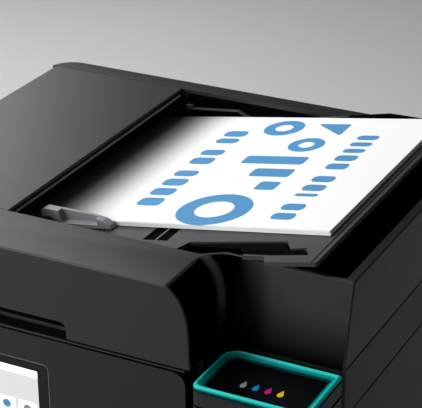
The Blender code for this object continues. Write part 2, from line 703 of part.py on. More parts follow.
def build_document_cover():
    """Lid shell with the feeder bay, the outlet recess, a lift notch and hinge lugs."""
    height = COVER_TOP - COVER_BOTTOM
    edge = 1.2
    levels = (1.0, 0.8, 0.6, 0.42, 0.26, 0.14, 0.07)
    rings = [cover_ring(share, 0.0) for share in levels]
    stations = [COVER_TOP - height * share for share in levels]
    for angle in (0.0, 30.0, 60.0, 90.0):
        turn = math.radians(angle)
        drop = edge * (1 - math.sin(turn))
        rings.append(cover_ring(drop / height, edge * (1 - math.cos(turn))))
        stations.append(COVER_TOP - drop)
    shell = loft("document_cover", rings, stations, "Z", "cover_grey")

    below = 260.0
    left = -60.0
    niche_back = NICHE_DEPTH + 2.2
    right = HALF - RIM_RIGHT
    corners = [
        (left, BAND, 0), (82, BAND, 4), (97, niche_back, 6),
        (right, niche_back, 2), (right, RECESS_REAR, 2), (left, RECESS_REAR, 0),
    ]
    recess = fillet([(x, FRONT + depth, radius) for x, depth, radius in corners], steps=3)
    outlet = prism("outlet_recess", recess, (RECESS_FLOOR, ABOVE), "Z", "cover_grey")
    bay_floor = 290.0
    bay_left = -184.5
    ledge = 301.0
    bay_profile = [
        (left + 1, ABOVE), (left + 1, RECESS_FLOOR), (left + 0.5, 296), (-77, 298.6), (-120, bay_floor),
        (bay_left, bay_floor), (bay_left, ledge), (-200, ledge), (-200, ABOVE),
    ]
    bay = prism("feeder_bay", bay_profile, (FRONT + BAND, FRONT + RECESS_REAR), "Y", "cover_grey")
    notch_x = (-70.0, 8.4)
    notch_top = 284.4
    notch_profile = [
        (notch_x[0], below, 0), (notch_x[1], below, 0),
        (notch_x[1], notch_top, 5), (notch_x[0], notch_top, 5),
    ]
    notch = prism("lift_notch", fillet(notch_profile), (FRONT - 5, FRONT + 9), "Y", "cover_grey")
    pocket_x = (-166.0, 151.0)
    pocket_depth = (60.0, 296.0)
    pocket_top = 276.8
    pad_pocket = slab("pad_pocket", pocket_x, pocket_depth, (below, pocket_top), "cover_grey")
    band_hollow = slab("band_hollow", (-178, 74), (12, BAND - 4), (below, 322), "cover_grey")
    cut(shell, outlet, bay, notch, pad_pocket, band_hollow)
    for side in (-1, 1):
        lug_span = sorted((side * 104, side * 117.4))
        join(shell, slab("cover_lug", lug_span, (312, 325), (273.5, 296), "cover_grey"))
    axis = (FRONT + COVER_HINGE[0], COVER_HINGE[1])
    bore_ends = [(station, HINGE_BORE_RADIUS) for station in BORE_SPAN]
    cut(shell, turned("cover_bore", bore_ends, axis, "X", "cover_grey", 12))

    pivot("cover_hinge", (0, *COVER_HINGE), "scanner_lift")
    hang(shell, "cover_hinge")
    margin = 0.6
    pad_x = (pocket_x[0] + margin, pocket_x[1] - margin)
    pad_depth = (pocket_depth[0] + margin, pocket_depth[1] - margin)
    pad = slab("document_mat", pad_x, pad_depth, (COVER_BOTTOM + GAP, pocket_top - GAP), "white_pad")
    hang(pad, "cover_hinge")
    shaft_ends = ((-134, HINGE_PIN_RADIUS), (134, HINGE_PIN_RADIUS))
    shaft = turned("lid_hinge_shaft", shaft_ends, axis, "X", "steel", 12)
    hang(shaft, "scanner_lift")


def build_feeder():
    """Feeder cover over the separation rollers, hinged along the left edge."""
    front = BAND + 0.5
    rear = RECESS_REAR - 0.5
    left = -HALF + 0.2
    wall = 3.0
    bottom = 303.5
    mouth_top = 319.0
    profile = [
        (left, bottom, 0), (FEEDER_EDGE - 2 * wall, bottom, 0), (FEEDER_EDGE - 2 * wall, mouth_top - 2, 0),
        (FEEDER_EDGE, mouth_top, 1), (FEEDER_EDGE, COVER_TOP, 1.5), (left, COVER_TOP, 7),
    ]
    cover = prism("adf_cover", fillet(profile, steps=4), (FRONT + front, FRONT + rear), "Y", "cover_grey")
    below = 290.0
    roof = COVER_TOP - 4.5
    hollow = [
        (left + wall, below), (FEEDER_EDGE - wall, below), (FEEDER_EDGE - wall, mouth_top + 1),
        (FEEDER_EDGE - 7, roof), (left + wall, roof),
    ]
    inside = prism("cover_hollow", hollow, (FRONT + front + 2.5, FRONT + rear - 2.5), "Y", "cover_grey")
    cheek_depth = (front - 5, rear + 5)
    cheeks = slab("cheek_trim", (left + wall, 0), cheek_depth, (below - 10, mouth_top - 0.5), "cover_grey")
    cut(cover, inside, cheeks)
    pivot("adf_cover_hinge", (left + 2.6, 174, 306.5), "cover_hinge")
    hang(cover, "adf_cover_hinge")

    rollers = (
        ("adf_pickup_roller", -100.0, 306.0, 9.0, 44.0),
        ("adf_feed_roller", -134.0, 302.0, 10.0, 88.0),
    )
    middle = (BAND + RECESS_REAR) / 2
    ends = (BAND + 0.6, RECESS_REAR - 0.6)
    axle = 3.0
    for name, x, z, radius, length in rollers:
        near = middle - length / 2
        far = middle + length / 2
        profile = [
            (ends[0], axle), (near - 1, axle), (near, radius),
            (far, radius), (far + 1, axle), (ends[1], axle),
        ]
        stations = [(FRONT + depth, size) for depth, size in profile]
        roller = turned(name, stations, (x, z), "Y", "rubber", 16)
        pivot(name + "_spin", (x, middle, z), "cover_hinge")
        hang(roller, name + "_spin")


def slope(x, y):
    """Point of the tray plane, from world x and depth to distance along the slope and world y."""
    return ((x - TRAY_HINGE_X) / math.cos(TILT), FRONT + y)


def tilt_with_tray(item, parent):
    """Places a piece modelled flat, with its origin on the tray hinge, on the tilted tray plane."""
    item.location = Vector((TRAY_HINGE_X, 0.0, TRAY_HINGE_Z)) * MM
    item.rotation_euler = (0.0, -TILT, 0.0)
    hang(item, parent)


def sloped_prism(name, corners, z, colour):
    """Prism from (x, depth, radius) corners, in the tray's own flat coordinates."""
    outline = [(*slope(x, y), radius) for x, y, radius in corners]
    return prism(name, fillet(outline, steps=3), z, "Z", colour)


def sloped_box(name, x, y, z, colour):
    corners = [(x[0], y[0], 0), (x[1], y[0], 0), (x[1], y[1], 0), (x[0], y[1], 0)]
    return sloped_prism(name, corners, z, colour)


def build_feeder_tray():
    """Tilted document tray with a notched front edge and a rear lip."""
    pivot("tray_lift", (TRAY_HINGE_X, 174, TRAY_HINGE_Z - TRAY_THICK / 2), "cover_hinge")
    front, rear = 50.0, 298.5
    corners = [
        (TRAY_HINGE_X, front, 0), (60, front, 0), (66, 66, 0), (132.5, 75, 1.5), (139.5, 64, 0),
        (149.5, 66.5, 1), (155.5, 56, 0), (130, 52.2, 0), (112, 52, 0), (112, 50.2, 0),
        (127.5, 50.2, 0), (131, 42.5, 1),
        (TRAY_RIGHT, 45.6, 1.5), (TRAY_RIGHT, rear, 3), (TRAY_HINGE_X, rear, 0),
    ]
    tray = sloped_prism("adf_input_tray", corners, (-TRAY_THICK, 0), "tray_grey")
    lip_stations = ((130, -1), (134, 2.8), (191, 5.9), (228, 0.6), (230, -1))
    lip_profile = [(x / math.cos(TILT), rise) for x, rise in lip_stations]
    lip = prism("tray_rear_lip", lip_profile, (FRONT + rear - 2.9, FRONT + rear - 0.1), "Y", "tray_grey")
    join(tray, lip)
    tools = [lip]
    for span in ((30.0, 37.5), (41.0, 48.5)):
        groove = sloped_box("guide_groove", span, (66, 290), (-1.4, 5), "tray_grey")
        cut(tray, groove)
        tools.append(groove)
    for item in (tray, *tools):
        tilt_with_tray(item, "tray_lift")


def build_stopper():
    """Flat stop arm that rests in the tray's notch."""
    corners = [
        (68, 61.5, 0), (105, 61.5, 2), (112, 54, 0), (130, 54, 0), (153.5, 57.5, 1), (148.5, 64.8, 1),
        (138.6, 62.5, 0), (131.5, 73.2, 1), (68, 64.8, 0),
    ]
    arm = sloped_prism("document_stopper", corners, (-2.4, -0.6), "inner_black")
    hinge_x = 70.0
    rise = (hinge_x - TRAY_HINGE_X) * math.tan(TILT)
    pivot("stopper_flip", (hinge_x, 65, TRAY_HINGE_Z + rise - TRAY_THICK / 2), "tray_lift")
    tilt_with_tray(arm, "stopper_flip")


def build_sheets():
    """Loaded A4 stack lying on the tray, its feed end just inside the feeder mouth."""
    span = (TRAY_HINGE_X + 0.5, SHEET_RIGHT)
    depth = (SHEET_FRONT, SHEET_FRONT + SHEET_WIDTH)
    sheets = sloped_box("document_sheets", span, depth, (SHEET_LIFT, SHEET_LIFT + SHEET_STACK), "paper")
    pivot("sheets_pull", (TRAY_HINGE_X, 190, TRAY_HINGE_Z), "tray_lift")
    tilt_with_tray(sheets, "sheets_pull")


def build_edge_guide(side, face, sign):
    """Paper guide: an upright wall on the sheet's edge, an arched end block and a finger ledge."""
    reach = GUIDE_REACH[side]
    left = GUIDE_LEFT
    foot = 0.4
    block_top = 12.5
    stations = (
        (left, foot), (left, block_top), (left + 3, 14.6), (left + 39, 9.2), (left + 49, 6.6),
        (left + 54, 3.4), (left + 55, foot),
    )
    profile = [((x - TRAY_HINGE_X) / math.cos(TILT), rise) for x, rise in stations]
    wall_span = sorted((FRONT + face, FRONT + face + sign * GUIDE_WALL))
    guide = prism(f"edge_guide_{side}", profile, wall_span, "Y", "guide_grey")
    outward = sorted((face, face + sign * reach))
    ledge = sloped_box(f"guide_ledge_{side}", (left + 14, left + 50), outward, (foot, 4.2), "guide_grey")
    block = sloped_box(f"guide_block_{side}", (left, left + 16), outward, (foot, block_top), "guide_grey")
    join(guide, ledge, block)
    past_wall = sorted((face + sign * GUIDE_WALL, face + sign * 20))
    arch = sloped_box(f"guide_arch_{side}", (left + 3, left + 10), past_wall, (-1, 6.5), "guide_grey")
    cut(guide, arch)
    name = f"edge_guide_{side}_slide"
    pivot(name, (left, face, TRAY_HINGE_Z + 10), "tray_lift")
    for item in (guide, ledge, block, arch):
        tilt_with_tray(item, name)


build_base()
build_side_covers()
build_rear()
build_front_frame()
build_chassis()
build_print_parts()
build_output_tray()
build_cassette()
build_control_panel()
build_ink_unit()
build_ink_lid()
build_scanner()
build_document_cover()
build_feeder()
build_feeder_tray()
build_stopper()
build_sheets()
build_edge_guide("front", SHEET_FRONT - GAP, -1)
build_edge_guide("rear", SHEET_FRONT + SHEET_WIDTH + GAP, 1)
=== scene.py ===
import math
import random

import bmesh
import bpy
from mathutils import Matrix, Vector


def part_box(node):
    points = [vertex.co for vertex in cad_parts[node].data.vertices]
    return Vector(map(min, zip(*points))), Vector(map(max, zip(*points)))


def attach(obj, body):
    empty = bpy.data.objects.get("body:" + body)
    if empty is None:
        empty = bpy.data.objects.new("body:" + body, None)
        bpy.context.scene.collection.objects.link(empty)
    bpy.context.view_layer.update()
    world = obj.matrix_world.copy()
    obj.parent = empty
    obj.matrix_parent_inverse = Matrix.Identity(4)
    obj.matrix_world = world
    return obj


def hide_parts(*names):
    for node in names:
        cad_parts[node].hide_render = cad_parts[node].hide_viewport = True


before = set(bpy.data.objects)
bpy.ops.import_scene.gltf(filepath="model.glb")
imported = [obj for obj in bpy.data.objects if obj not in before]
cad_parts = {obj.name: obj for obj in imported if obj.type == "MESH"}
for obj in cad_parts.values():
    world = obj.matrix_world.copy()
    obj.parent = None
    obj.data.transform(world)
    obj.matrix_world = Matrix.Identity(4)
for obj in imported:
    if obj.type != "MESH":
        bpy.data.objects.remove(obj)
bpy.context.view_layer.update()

# Everything below is modelled in millimetres and scaled to the frame's metres by the mesh helpers.
# Depths are measured from the front face of the document cover, so y = FRONT + depth.
MM = 0.001


def limits(node):
    """Lowest and highest corner of a CAD node in millimetres."""
    low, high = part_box(node)
    return low / MM, high / MM


COVER_LOW, COVER_HIGH = limits("document_cover")
FRONT = COVER_LOW.y
HALF = COVER_HIGH.x
COVER_BOTTOM = COVER_LOW.z
COVER_TOP = COVER_HIGH.z
SHEET_LOW = limits("document_sheets")[0]
LID_LOW = limits("ink_tank_lid")[0]

# Document cover
COVER_REAR = 316.6
CORNER_RADIUS = 22.0
BAND = 48.0
RIM_RIGHT = 6.5
RECESS_REAR = 300.8
RECESS_FLOOR = 286.0
SHOULDER_X = 83.7
SHOULDER_FLARE = 16.2
SHOULDER_BEND = 5.4
SHOULDER_ROUND = 1.5
NICHE_DEPTH = 56.0
NICHE_LEAN = 13.5
NICHE_SWEEP = 20.0
NICHE_SWEEP_LOSS = 3.0
NICHE_EDGE_ROUND = 1.2
FEEDER_EDGE = -64.3

# Feeder tray
TILT = math.atan(0.169)
TRAY_HINGE_X = -76.0
TRAY_HINGE_Z = 302.8
TRAY_THICK = 3.0
TRAY_RIGHT = 165.5
SHEET_WIDTH = 208.0
SHEET_FRONT = SHEET_LOW.y - FRONT
SHEET_RIGHT = 158.0
SHEET_BASE = 0.3
SHEET_STACK = 3.5
GUIDE_GAP = 0.4

# Ink tank unit
TANK_DEPTH = -12.0
TANK_REAR = 41.0
TANK_LEFT = 106.2
LID_TOP = 270.0
RIM_CROWN = 270.4
RIM_FOOT = 268.0

CAMERA_PLACE = (0.53848, -0.97694, 0.82752)
CAMERA_AXES = (
    (0.88976597, -0.18813142, 0.41584022),
    (0.45633243, 0.38422928, -0.80257621),
    (-0.00878819, 0.90386638, 0.4277246),
)
CAMERA_LENS = 144.86


# ---------------------------------------------------------------- materials

class Nodes:
    """Short way to add and link shader nodes in one material."""

    def __init__(self, name):
        self.made = bpy.data.materials.new(name)
        self.made.use_nodes = True
        self.tree = self.made.node_tree
        self.shader = self.tree.nodes["Principled BSDF"]
        self.place = self.add("ShaderNodeTexCoord").outputs["Object"]

    def add(self, kind, **values):
        node = self.tree.nodes.new(kind)
        for key, value in values.items():
            setattr(node, key, value)
        return node

    def link(self, source, target):
        self.tree.links.new(source, target)

    def noise(self, scale, detail=2.0, roughness=0.5):
        node = self.add("ShaderNodeTexNoise")
        node.inputs["Scale"].default_value = scale
        node.inputs["Detail"].default_value = detail
        node.inputs["Roughness"].default_value = roughness
        self.link(self.place, node.inputs["Vector"])
        return node.outputs["Fac"]

    def spread(self, source, low, high, start=0.3, stop=0.7):
        node = self.add("ShaderNodeMapRange")
        node.inputs["From Min"].default_value = start
        node.inputs["From Max"].default_value = stop
        node.inputs["To Min"].default_value = low
        node.inputs["To Max"].default_value = high
        self.link(source, node.inputs["Value"])
        return node.outputs["Result"]

    def mix(self, factor, first, second):
        node = self.add("ShaderNodeMix", data_type="RGBA")
        for name, value in (("A", first), ("B", second)):
            socket = [item for item in node.inputs if item.name == name and item.type == "RGBA"][0]
            if isinstance(value, tuple):
                socket.default_value = (*value, 1.0)
            else:
                self.link(value, socket)
        self.link(factor, node.inputs[0])
        return [item for item in node.outputs if item.type == "RGBA"][0]

    def bump(self, source, depth_mm, strength=1.0):
        node = self.add("ShaderNodeBump")
        node.inputs["Strength"].default_value = strength
        node.inputs["Distance"].default_value = depth_mm * MM
        self.link(source, node.inputs["Height"])
        self.link(node.outputs["Normal"], self.shader.inputs["Normal"])

    def set(self, **values):
        for key, value in values.items():
            socket = self.shader.inputs[key.replace("_", " ")]
            socket.default_value = (*value, 1.0) if isinstance(value, tuple) else value


def shade(colour, factor):
    return tuple(min(1.0, channel * factor) for channel in colour)


def plastic(name, colour, roughness, grain_mm=0.5, grain_depth=0.012, tone=0.12, specular=0.5, coat=0.0):
    """Moulded plastic: spark-eroded grain, cloudy tone and slightly uneven gloss."""
    nodes = Nodes(name)
    clouds = nodes.spread(nodes.noise(14.0, 4.0), 0.0, 1.0)
    nodes.link(nodes.mix(clouds, shade(colour, 1 - tone), shade(colour, 1 + tone)), nodes.shader.inputs["Base Color"])
    gloss = nodes.spread(nodes.noise(600.0, 3.0), roughness - 0.03, roughness + 0.03)
    nodes.link(gloss, nodes.shader.inputs["Roughness"])
    nodes.bump(nodes.noise(1000.0 / grain_mm, 2.0), grain_depth)
    nodes.set(Specular_IOR_Level=specular, Coat_Weight=coat, Coat_Roughness=0.08)
    return nodes.made


def metal(name, colour, roughness, stretch):
    """Rolled or drawn metal with fine lines along one axis."""
    nodes = Nodes(name)
    mapping = nodes.add("ShaderNodeMapping")
    mapping.inputs["Scale"].default_value = stretch
    nodes.link(nodes.place, mapping.inputs["Vector"])
    lines = nodes.add("ShaderNodeTexNoise")
    lines.inputs["Scale"].default_value = 900.0
    lines.inputs["Detail"].default_value = 3.0
    nodes.link(mapping.outputs["Vector"], lines.inputs["Vector"])
    nodes.link(nodes.spread(lines.outputs["Fac"], roughness - 0.08, roughness + 0.1), nodes.shader.inputs["Roughness"])
    tint = nodes.mix(nodes.spread(nodes.noise(30.0, 4.0), 0.0, 1.0), shade(colour, 0.86), colour)
    nodes.link(tint, nodes.shader.inputs["Base Color"])
    nodes.bump(lines.outputs["Fac"], 0.006)
    nodes.set(Metallic=1.0)
    return nodes.made


def page_with_painted_shade():
    """White paper with fibre grain and painted shade that darkens it to charcoal towards the feeder."""
    nodes = Nodes("paper_painted_shade")
    split = nodes.add("ShaderNodeSeparateXYZ")
    nodes.link(nodes.place, split.inputs["Vector"])
    # Painted shade: a ramp from near black at the feeder mouth to white further down the sheet.
    ramp = nodes.add("ShaderNodeValToRGB")
    painted_shade_levels = ((0.0, 0.100), (0.10, 0.110), (0.25, 0.15), (0.45, 0.34), (0.68, 0.68), (0.86, 0.88), (1.0, 0.92))
    while len(ramp.color_ramp.elements) < len(painted_shade_levels):
        ramp.color_ramp.elements.new(0.5)
    for element, (position, level) in zip(ramp.color_ramp.elements, painted_shade_levels):
        element.position = position
        element.color = (level, level, level, 1.0)
    start = (TRAY_HINGE_X + 14.0) * MM
    stop = (TRAY_HINGE_X + 70.0) * MM
    nodes.link(nodes.spread(split.outputs["X"], 0.0, 1.0, start, stop), ramp.inputs["Fac"])
    fibre = nodes.spread(nodes.noise(420.0, 5.0, 0.7), 0.0, 1.0)
    page = nodes.add("ShaderNodeMix", data_type="RGBA", blend_type="MULTIPLY")
    page.inputs[0].default_value = 1.0
    colours = [item for item in page.inputs if item.type == "RGBA"]
    nodes.link(ramp.outputs["Color"], colours[0])
    nodes.link(nodes.mix(fibre, (0.965, 0.965, 0.960), (1.0, 1.0, 1.0)), colours[1])
    result = [item for item in page.outputs if item.type == "RGBA"][0]
    nodes.link(result, nodes.shader.inputs["Base Color"])
    nodes.bump(nodes.noise(2600.0, 3.0), 0.01)
    nodes.set(Roughness=0.72, Specular_IOR_Level=0.25)
    return nodes.made


def clear(name, tint, roughness, alpha_weight):
    """Clear moulded plastic or float glass with a faint smear pattern."""
    nodes = Nodes(name)
    smear = nodes.spread(nodes.noise(25.0, 4.0), roughness, roughness + 0.05)
    nodes.link(smear, nodes.shader.inputs["Roughness"])
    cloudy = nodes.mix(nodes.spread(nodes.noise(40.0), 0.0, 1.0), tint, shade(tint, 0.94))
    nodes.link(cloudy, nodes.shader.inputs["Base Color"])
    nodes.bump(nodes.noise(60.0), 0.01)
    nodes.set(Transmission_Weight=alpha_weight, IOR=1.49)
    return nodes.made


def rim_painted_shade():
    """Teal of the lid rim with painted shade: it sinks to near black down its inner slope."""
    nodes = Nodes("rim_painted_shade_look")
    split = nodes.add("ShaderNodeSeparateXYZ")
    nodes.link(nodes.place, split.inputs["Vector"])
    rise = nodes.spread(split.outputs["Z"], 0.0, 1.0, RIM_FOOT * MM, RIM_CROWN * MM)
    colour = PLASTICS["teal"][0]
    nodes.link(nodes.mix(rise, shade(colour, 0.05), colour), nodes.shader.inputs["Base Color"])
    nodes.link(nodes.spread(rise, 0.0, 0.25, 0.0, 1.0), nodes.shader.inputs["Specular IOR Level"])
    nodes.bump(nodes.noise(700.0), 0.004)
    nodes.set(Roughness=0.34)
    return nodes.made


def niche_painted_shade():
    """Cover plastic with painted shade that sinks to black in the concave corner and towards the foot of the niche, and
    a painted highlight: one soft upright streak in it.
    """
    nodes = Nodes("niche_painted_shade_look")
    colour, roughness, grain_mm, grain_depth, _, specular, _ = PLASTICS["cover_grey"]
    split = nodes.add("ShaderNodeSeparateXYZ")
    nodes.link(nodes.place, split.inputs["Vector"])
    facing = nodes.add("ShaderNodeSeparateXYZ")
    nodes.link(nodes.add("ShaderNodeTexCoord").outputs["Normal"], facing.inputs["Vector"])
    ramp = nodes.add("ShaderNodeValToRGB")
    # Painted highlight: a soft upright streak where the surface faces between forward and sideways.
    streak = ((0.33, 0.0), (0.55, 1.0), (0.75, 1.0), (1.0, 0.0))
    while len(ramp.color_ramp.elements) < len(streak):
        ramp.color_ramp.elements.new(0.5)
    for element, (position, level) in zip(ramp.color_ramp.elements, streak):
        element.position = position
        element.color = (level, level, level, 1.0)

    def combine(operation, first, second):
        node = nodes.add("ShaderNodeMath", operation=operation)
        nodes.link(first, node.inputs[0])
        nodes.link(second, node.inputs[1])
        return node.outputs[0]

    forward = nodes.add("ShaderNodeMath", operation="MULTIPLY")
    nodes.link(facing.outputs["Y"], forward.inputs[0])
    forward.inputs[1].default_value = -1.0
    nodes.link(combine("DIVIDE", forward.outputs[0], facing.outputs["X"]), ramp.inputs["Fac"])
    peak = 2.5
    # Painted shade: colour and gloss darken away from the flat wall and towards the foot of the niche.
    wall = nodes.spread(split.outputs["X"], 0.0, 0.84 / peak, 107.0 * MM, 133.0 * MM)
    foot = nodes.spread(split.outputs["Z"], 0.0, 1.0, 272.5 * MM, 306.0 * MM)
    lift = nodes.spread(split.outputs["Z"], 0.0, 1.0, 278.0 * MM, 314.0 * MM)
    level = combine("MULTIPLY", combine("MAXIMUM", wall, combine("MULTIPLY", ramp.outputs["Color"], lift)), foot)
    nodes.link(nodes.mix(level, (0.0, 0.0, 0.0), shade(colour, peak)), nodes.shader.inputs["Base Color"])
    nodes.link(nodes.spread(level, 0.0, specular * peak, 0.0, 1.0), nodes.shader.inputs["Specular IOR Level"])
    nodes.bump(nodes.noise(1000.0 / grain_mm, 2.0), grain_depth)
    nodes.set(Roughness=roughness)
    return nodes.made


def lit_screen(name, colour, strength):
    """Backlit display layer with a fine pixel grid in its glow."""
    nodes = Nodes(name)
    grid = nodes.spread(nodes.noise(3000.0), 0.94, 1.0)
    tone = nodes.mix(grid, shade(colour, 0.96), colour)
    nodes.link(tone, nodes.shader.inputs["Base Color"])
    nodes.link(tone, nodes.shader.inputs["Emission Color"])
    nodes.bump(nodes.noise(2500.0), 0.002)
    nodes.set(Emission_Strength=strength, Roughness=0.2)
    return nodes.made


PLASTICS = {
    "shell_black": ((0.0070, 0.0070, 0.0074), 0.46, 0.5, 0.014, 0.06, 0.28, 0.0),
    "cover_grey": ((0.0095, 0.0094, 0.0097), 0.44, 0.5, 0.014, 0.06, 0.36, 0.0),
    "feeder_grey": ((0.0130, 0.0128, 0.0133), 0.42, 0.5, 0.014, 0.06, 0.42, 0.0),
    "gloss_black": ((0.0016, 0.0024, 0.0034), 0.10, 2.5, 0.004, 0.15, 0.32, 0.15),
    "tray_grey": ((0.0350, 0.0350, 0.0360), 0.50, 0.5, 0.012, 0.05, 0.30, 0.0),
    "guide_grey": ((0.2700, 0.2640, 0.2860), 0.40, 0.6, 0.008, 0.08, 0.50, 0.0),
    "inner_black": ((0.0006, 0.0006, 0.0007), 0.80, 0.6, 0.012, 0.10, 0.02, 0.0),
    "teal": ((0.0020, 0.6000, 0.5600), 0.30, 1.5, 0.004, 0.04, 0.25, 0.10),
    # Pale teal for the painted highlight on the crown of the lid rim.
    "teal_painted_highlight": ((0.0300, 0.7000, 0.6600), 0.28, 1.5, 0.004, 0.04, 0.30, 0.10),
    "rubber": ((0.0120, 0.0120, 0.0125), 0.80, 0.8, 0.030, 0.20, 0.30, 0.0),
    "white_pad": ((0.7600, 0.7600, 0.7400), 0.60, 1.2, 0.030, 0.04, 0.35, 0.0),
    "white_nylon": ((0.6600, 0.6500, 0.6200), 0.42, 0.8, 0.010, 0.05, 0.45, 0.0),
    "ink_blue": ((0.0600, 0.2700, 0.5400), 0.60, 1.0, 0.002, 0.05, 0.30, 0.0),
    "black_ink": ((0.0060, 0.0060, 0.0080), 0.22, 2.0, 0.010, 0.20, 0.50, 0.2),
    "cyan_ink": ((0.0060, 0.2300, 0.5200), 0.22, 2.0, 0.010, 0.10, 0.50, 0.2),
    "magenta_ink": ((0.5200, 0.0120, 0.2100), 0.22, 2.0, 0.010, 0.10, 0.50, 0.2),
    "yellow_ink": ((0.8200, 0.5600, 0.0120), 0.22, 2.0, 0.010, 0.08, 0.50, 0.2),
    "label_grey": ((0.3800, 0.3800, 0.3900), 0.55, 1.0, 0.004, 0.04, 0.30, 0.0),
    "bezel_black": ((0.0030, 0.0036, 0.0040), 0.16, 2.5, 0.004, 0.15, 0.22, 0.0),
    "trim_painted_highlight": ((0.1000, 0.1000, 0.1020), 0.40, 0.6, 0.004, 0.05, 0.40, 0.0),
    "icon_grey": ((0.2600, 0.2650, 0.2700), 0.50, 1.0, 0.002, 0.04, 0.30, 0.0),
}
LOOKS = {name: plastic(name + "_look", *values) for name, values in PLASTICS.items()}
# Painted light: the cyan, magenta and yellow ink looks glow a little, so the inks show in the shaded tanks.
for glowing_ink in ("cyan_ink", "magenta_ink", "yellow_ink"):
    glow_shader = LOOKS[glowing_ink].node_tree.nodes["Principled BSDF"]
    glow_shader.inputs["Emission Color"].default_value = (*PLASTICS[glowing_ink][0], 1.0)
    glow_shader.inputs["Emission Strength"].default_value = 0.12
# The niche look paints shade and a highlight streak into the niche of the cover.
LOOKS["niche"] = niche_painted_shade()
LOOKS["teal_painted_shade"] = rim_painted_shade()
LOOKS["steel"] = metal("steel_look", (0.52, 0.53, 0.55), 0.34, (1.0, 0.06, 1.0))
LOOKS["chrome"] = metal("chrome_look", (0.62, 0.63, 0.65), 0.20, (0.05, 1.0, 1.0))
LOOKS["paper"] = page_with_painted_shade()
LOOKS["glass"] = clear("glass_look", (0.86, 0.92, 0.92), 0.03, 0.97)
LOOKS["screen"] = lit_screen("screen_look", (0.62, 0.63, 0.62), 0.21)
LOOKS["screen_white"] = lit_screen("screen_white_look", (0.95, 0.95, 0.95), 0.60)
LOOKS["screen_dark"] = lit_screen("screen_dark_look", (0.02, 0.022, 0.024), 0.0)


# ---------------------------------------------------------------- mesh helpers

def add_mesh(name, bm, look):
    """Turns a bmesh in millimetres into a smooth-shaded object with one material."""
    bmesh.ops.recalc_face_normals(bm, faces=bm.faces)
    bmesh.ops.scale(bm, vec=(MM, MM, MM), verts=bm.verts)
    mesh = bpy.data.meshes.new(name)
    bm.to_mesh(mesh)
    bm.free()
    mesh.materials.append(LOOKS[look])
    item = bpy.data.objects.new(name, mesh)
    bpy.context.scene.collection.objects.link(item)
    return item


def fillet(corners, steps=10):
    """Outline through (x, y, radius) corners, each rounded by an arc."""
    points = []
    count = len(corners)
    for index, (x, y, radius) in enumerate(corners):
        here = Vector((x, y))
        if radius <= 0:
            points.append((x, y))
            continue
        before = (Vector(corners[index - 1][:2]) - here).normalized()
        after = (Vector(corners[(index + 1) % count][:2]) - here).normalized()
        half = before.angle(after) / 2
        centre = here + (before + after).normalized() * radius / math.sin(half)
        start = here + before * radius / math.tan(half) - centre
        end = here + after * radius / math.tan(half) - centre
        turn = start.angle_signed(end)
        for step in range(steps + 1):
            spoke = start.copy()
            spoke.rotate(Matrix.Rotation(-turn * step / steps, 2))
            points.append(tuple(centre + spoke))
    return points


def loft(name, rings, levels, axis, look):
    """Closed solid through outlines of equal length, one at each level along the axis."""
    first, second, along = {"X": (1, 2, 0), "Y": (0, 2, 1), "Z": (0, 1, 2)}[axis]
    bm = bmesh.new()
    loops = []
    for ring, level in zip(rings, levels):
        loop = []
        for a, b in ring:
            place = [0.0, 0.0, 0.0]
            place[first] = a
            place[second] = b
            place[along] = level
            loop.append(bm.verts.new(place))
        loops.append(loop)
    count = len(loops[0])
    for low, high in zip(loops, loops[1:]):
        for index in range(count):
            after = (index + 1) % count
            bm.faces.new((low[index], low[after], high[after], high[index]))
    bm.faces.new(loops[0])
    bm.faces.new(loops[-1])
    return add_mesh(name, bm, look)


def prism(name, outline, span, axis, look):
    return loft(name, [outline, outline], span, axis, look)


def box_corners(x, y, radius):
    return [(x[0], y[0], radius), (x[1], y[0], radius), (x[1], y[1], radius), (x[0], y[1], radius)]


def slab(name, x, depth, z, look, radius=0.0, steps=4):
    """Box between pairs of limits, with rounded upright edges where a radius is given."""
    spans = (x, (FRONT + depth[0], FRONT + depth[1]))
    return prism(name, fillet(box_corners(*spans, radius), steps), z, "Z", look)


def turned(name, profile, centre, axis, look, sides=40):
    """Solid of revolution: profile lists (station along the axis, radius)."""
    circle = [(math.cos(2 * math.pi * k / sides), math.sin(2 * math.pi * k / sides)) for k in range(sides)]
    rings = [[(centre[0] + r * a, centre[1] + r * b) for a, b in circle] for _, r in profile]
    return loft(name, rings, [station for station, _ in profile], axis, look)


def bake(item):
    """Applies the modifiers and forgets them."""
    graph = bpy.context.evaluated_depsgraph_get()
    mesh = bpy.data.meshes.new_from_object(item.evaluated_get(graph))
    item.modifiers.clear()
    item.data = mesh
    return item


def boolean(target, tools, operation):
    for tool in tools:
        step = target.modifiers.new(operation, "BOOLEAN")
        step.operation = operation
        step.solver = "EXACT"
        step.object = tool
    bake(target)
    for tool in tools:
        bpy.data.objects.remove(tool, do_unlink=True)
    return target


def cut(target, *tools):
    return boolean(target, tools, "DIFFERENCE")


def join(target, *tools):
    return boolean(target, tools, "UNION")


def merge(name, items):
    """Several closed solids kept side by side in one object."""
    bm = bmesh.new()
    look = items[0].data.materials[0]
    for item in items:
        copy = item.data.copy()
        copy.transform(item.matrix_basis)
        bm.from_mesh(copy)
        bpy.data.meshes.remove(copy)
        bpy.data.objects.remove(item, do_unlink=True)
    mesh = bpy.data.meshes.new(name)
    bm.to_mesh(mesh)
    bm.free()
    mesh.materials.append(look)
    made = bpy.data.objects.new(name, mesh)
    bpy.context.scene.collection.objects.link(made)
    return made


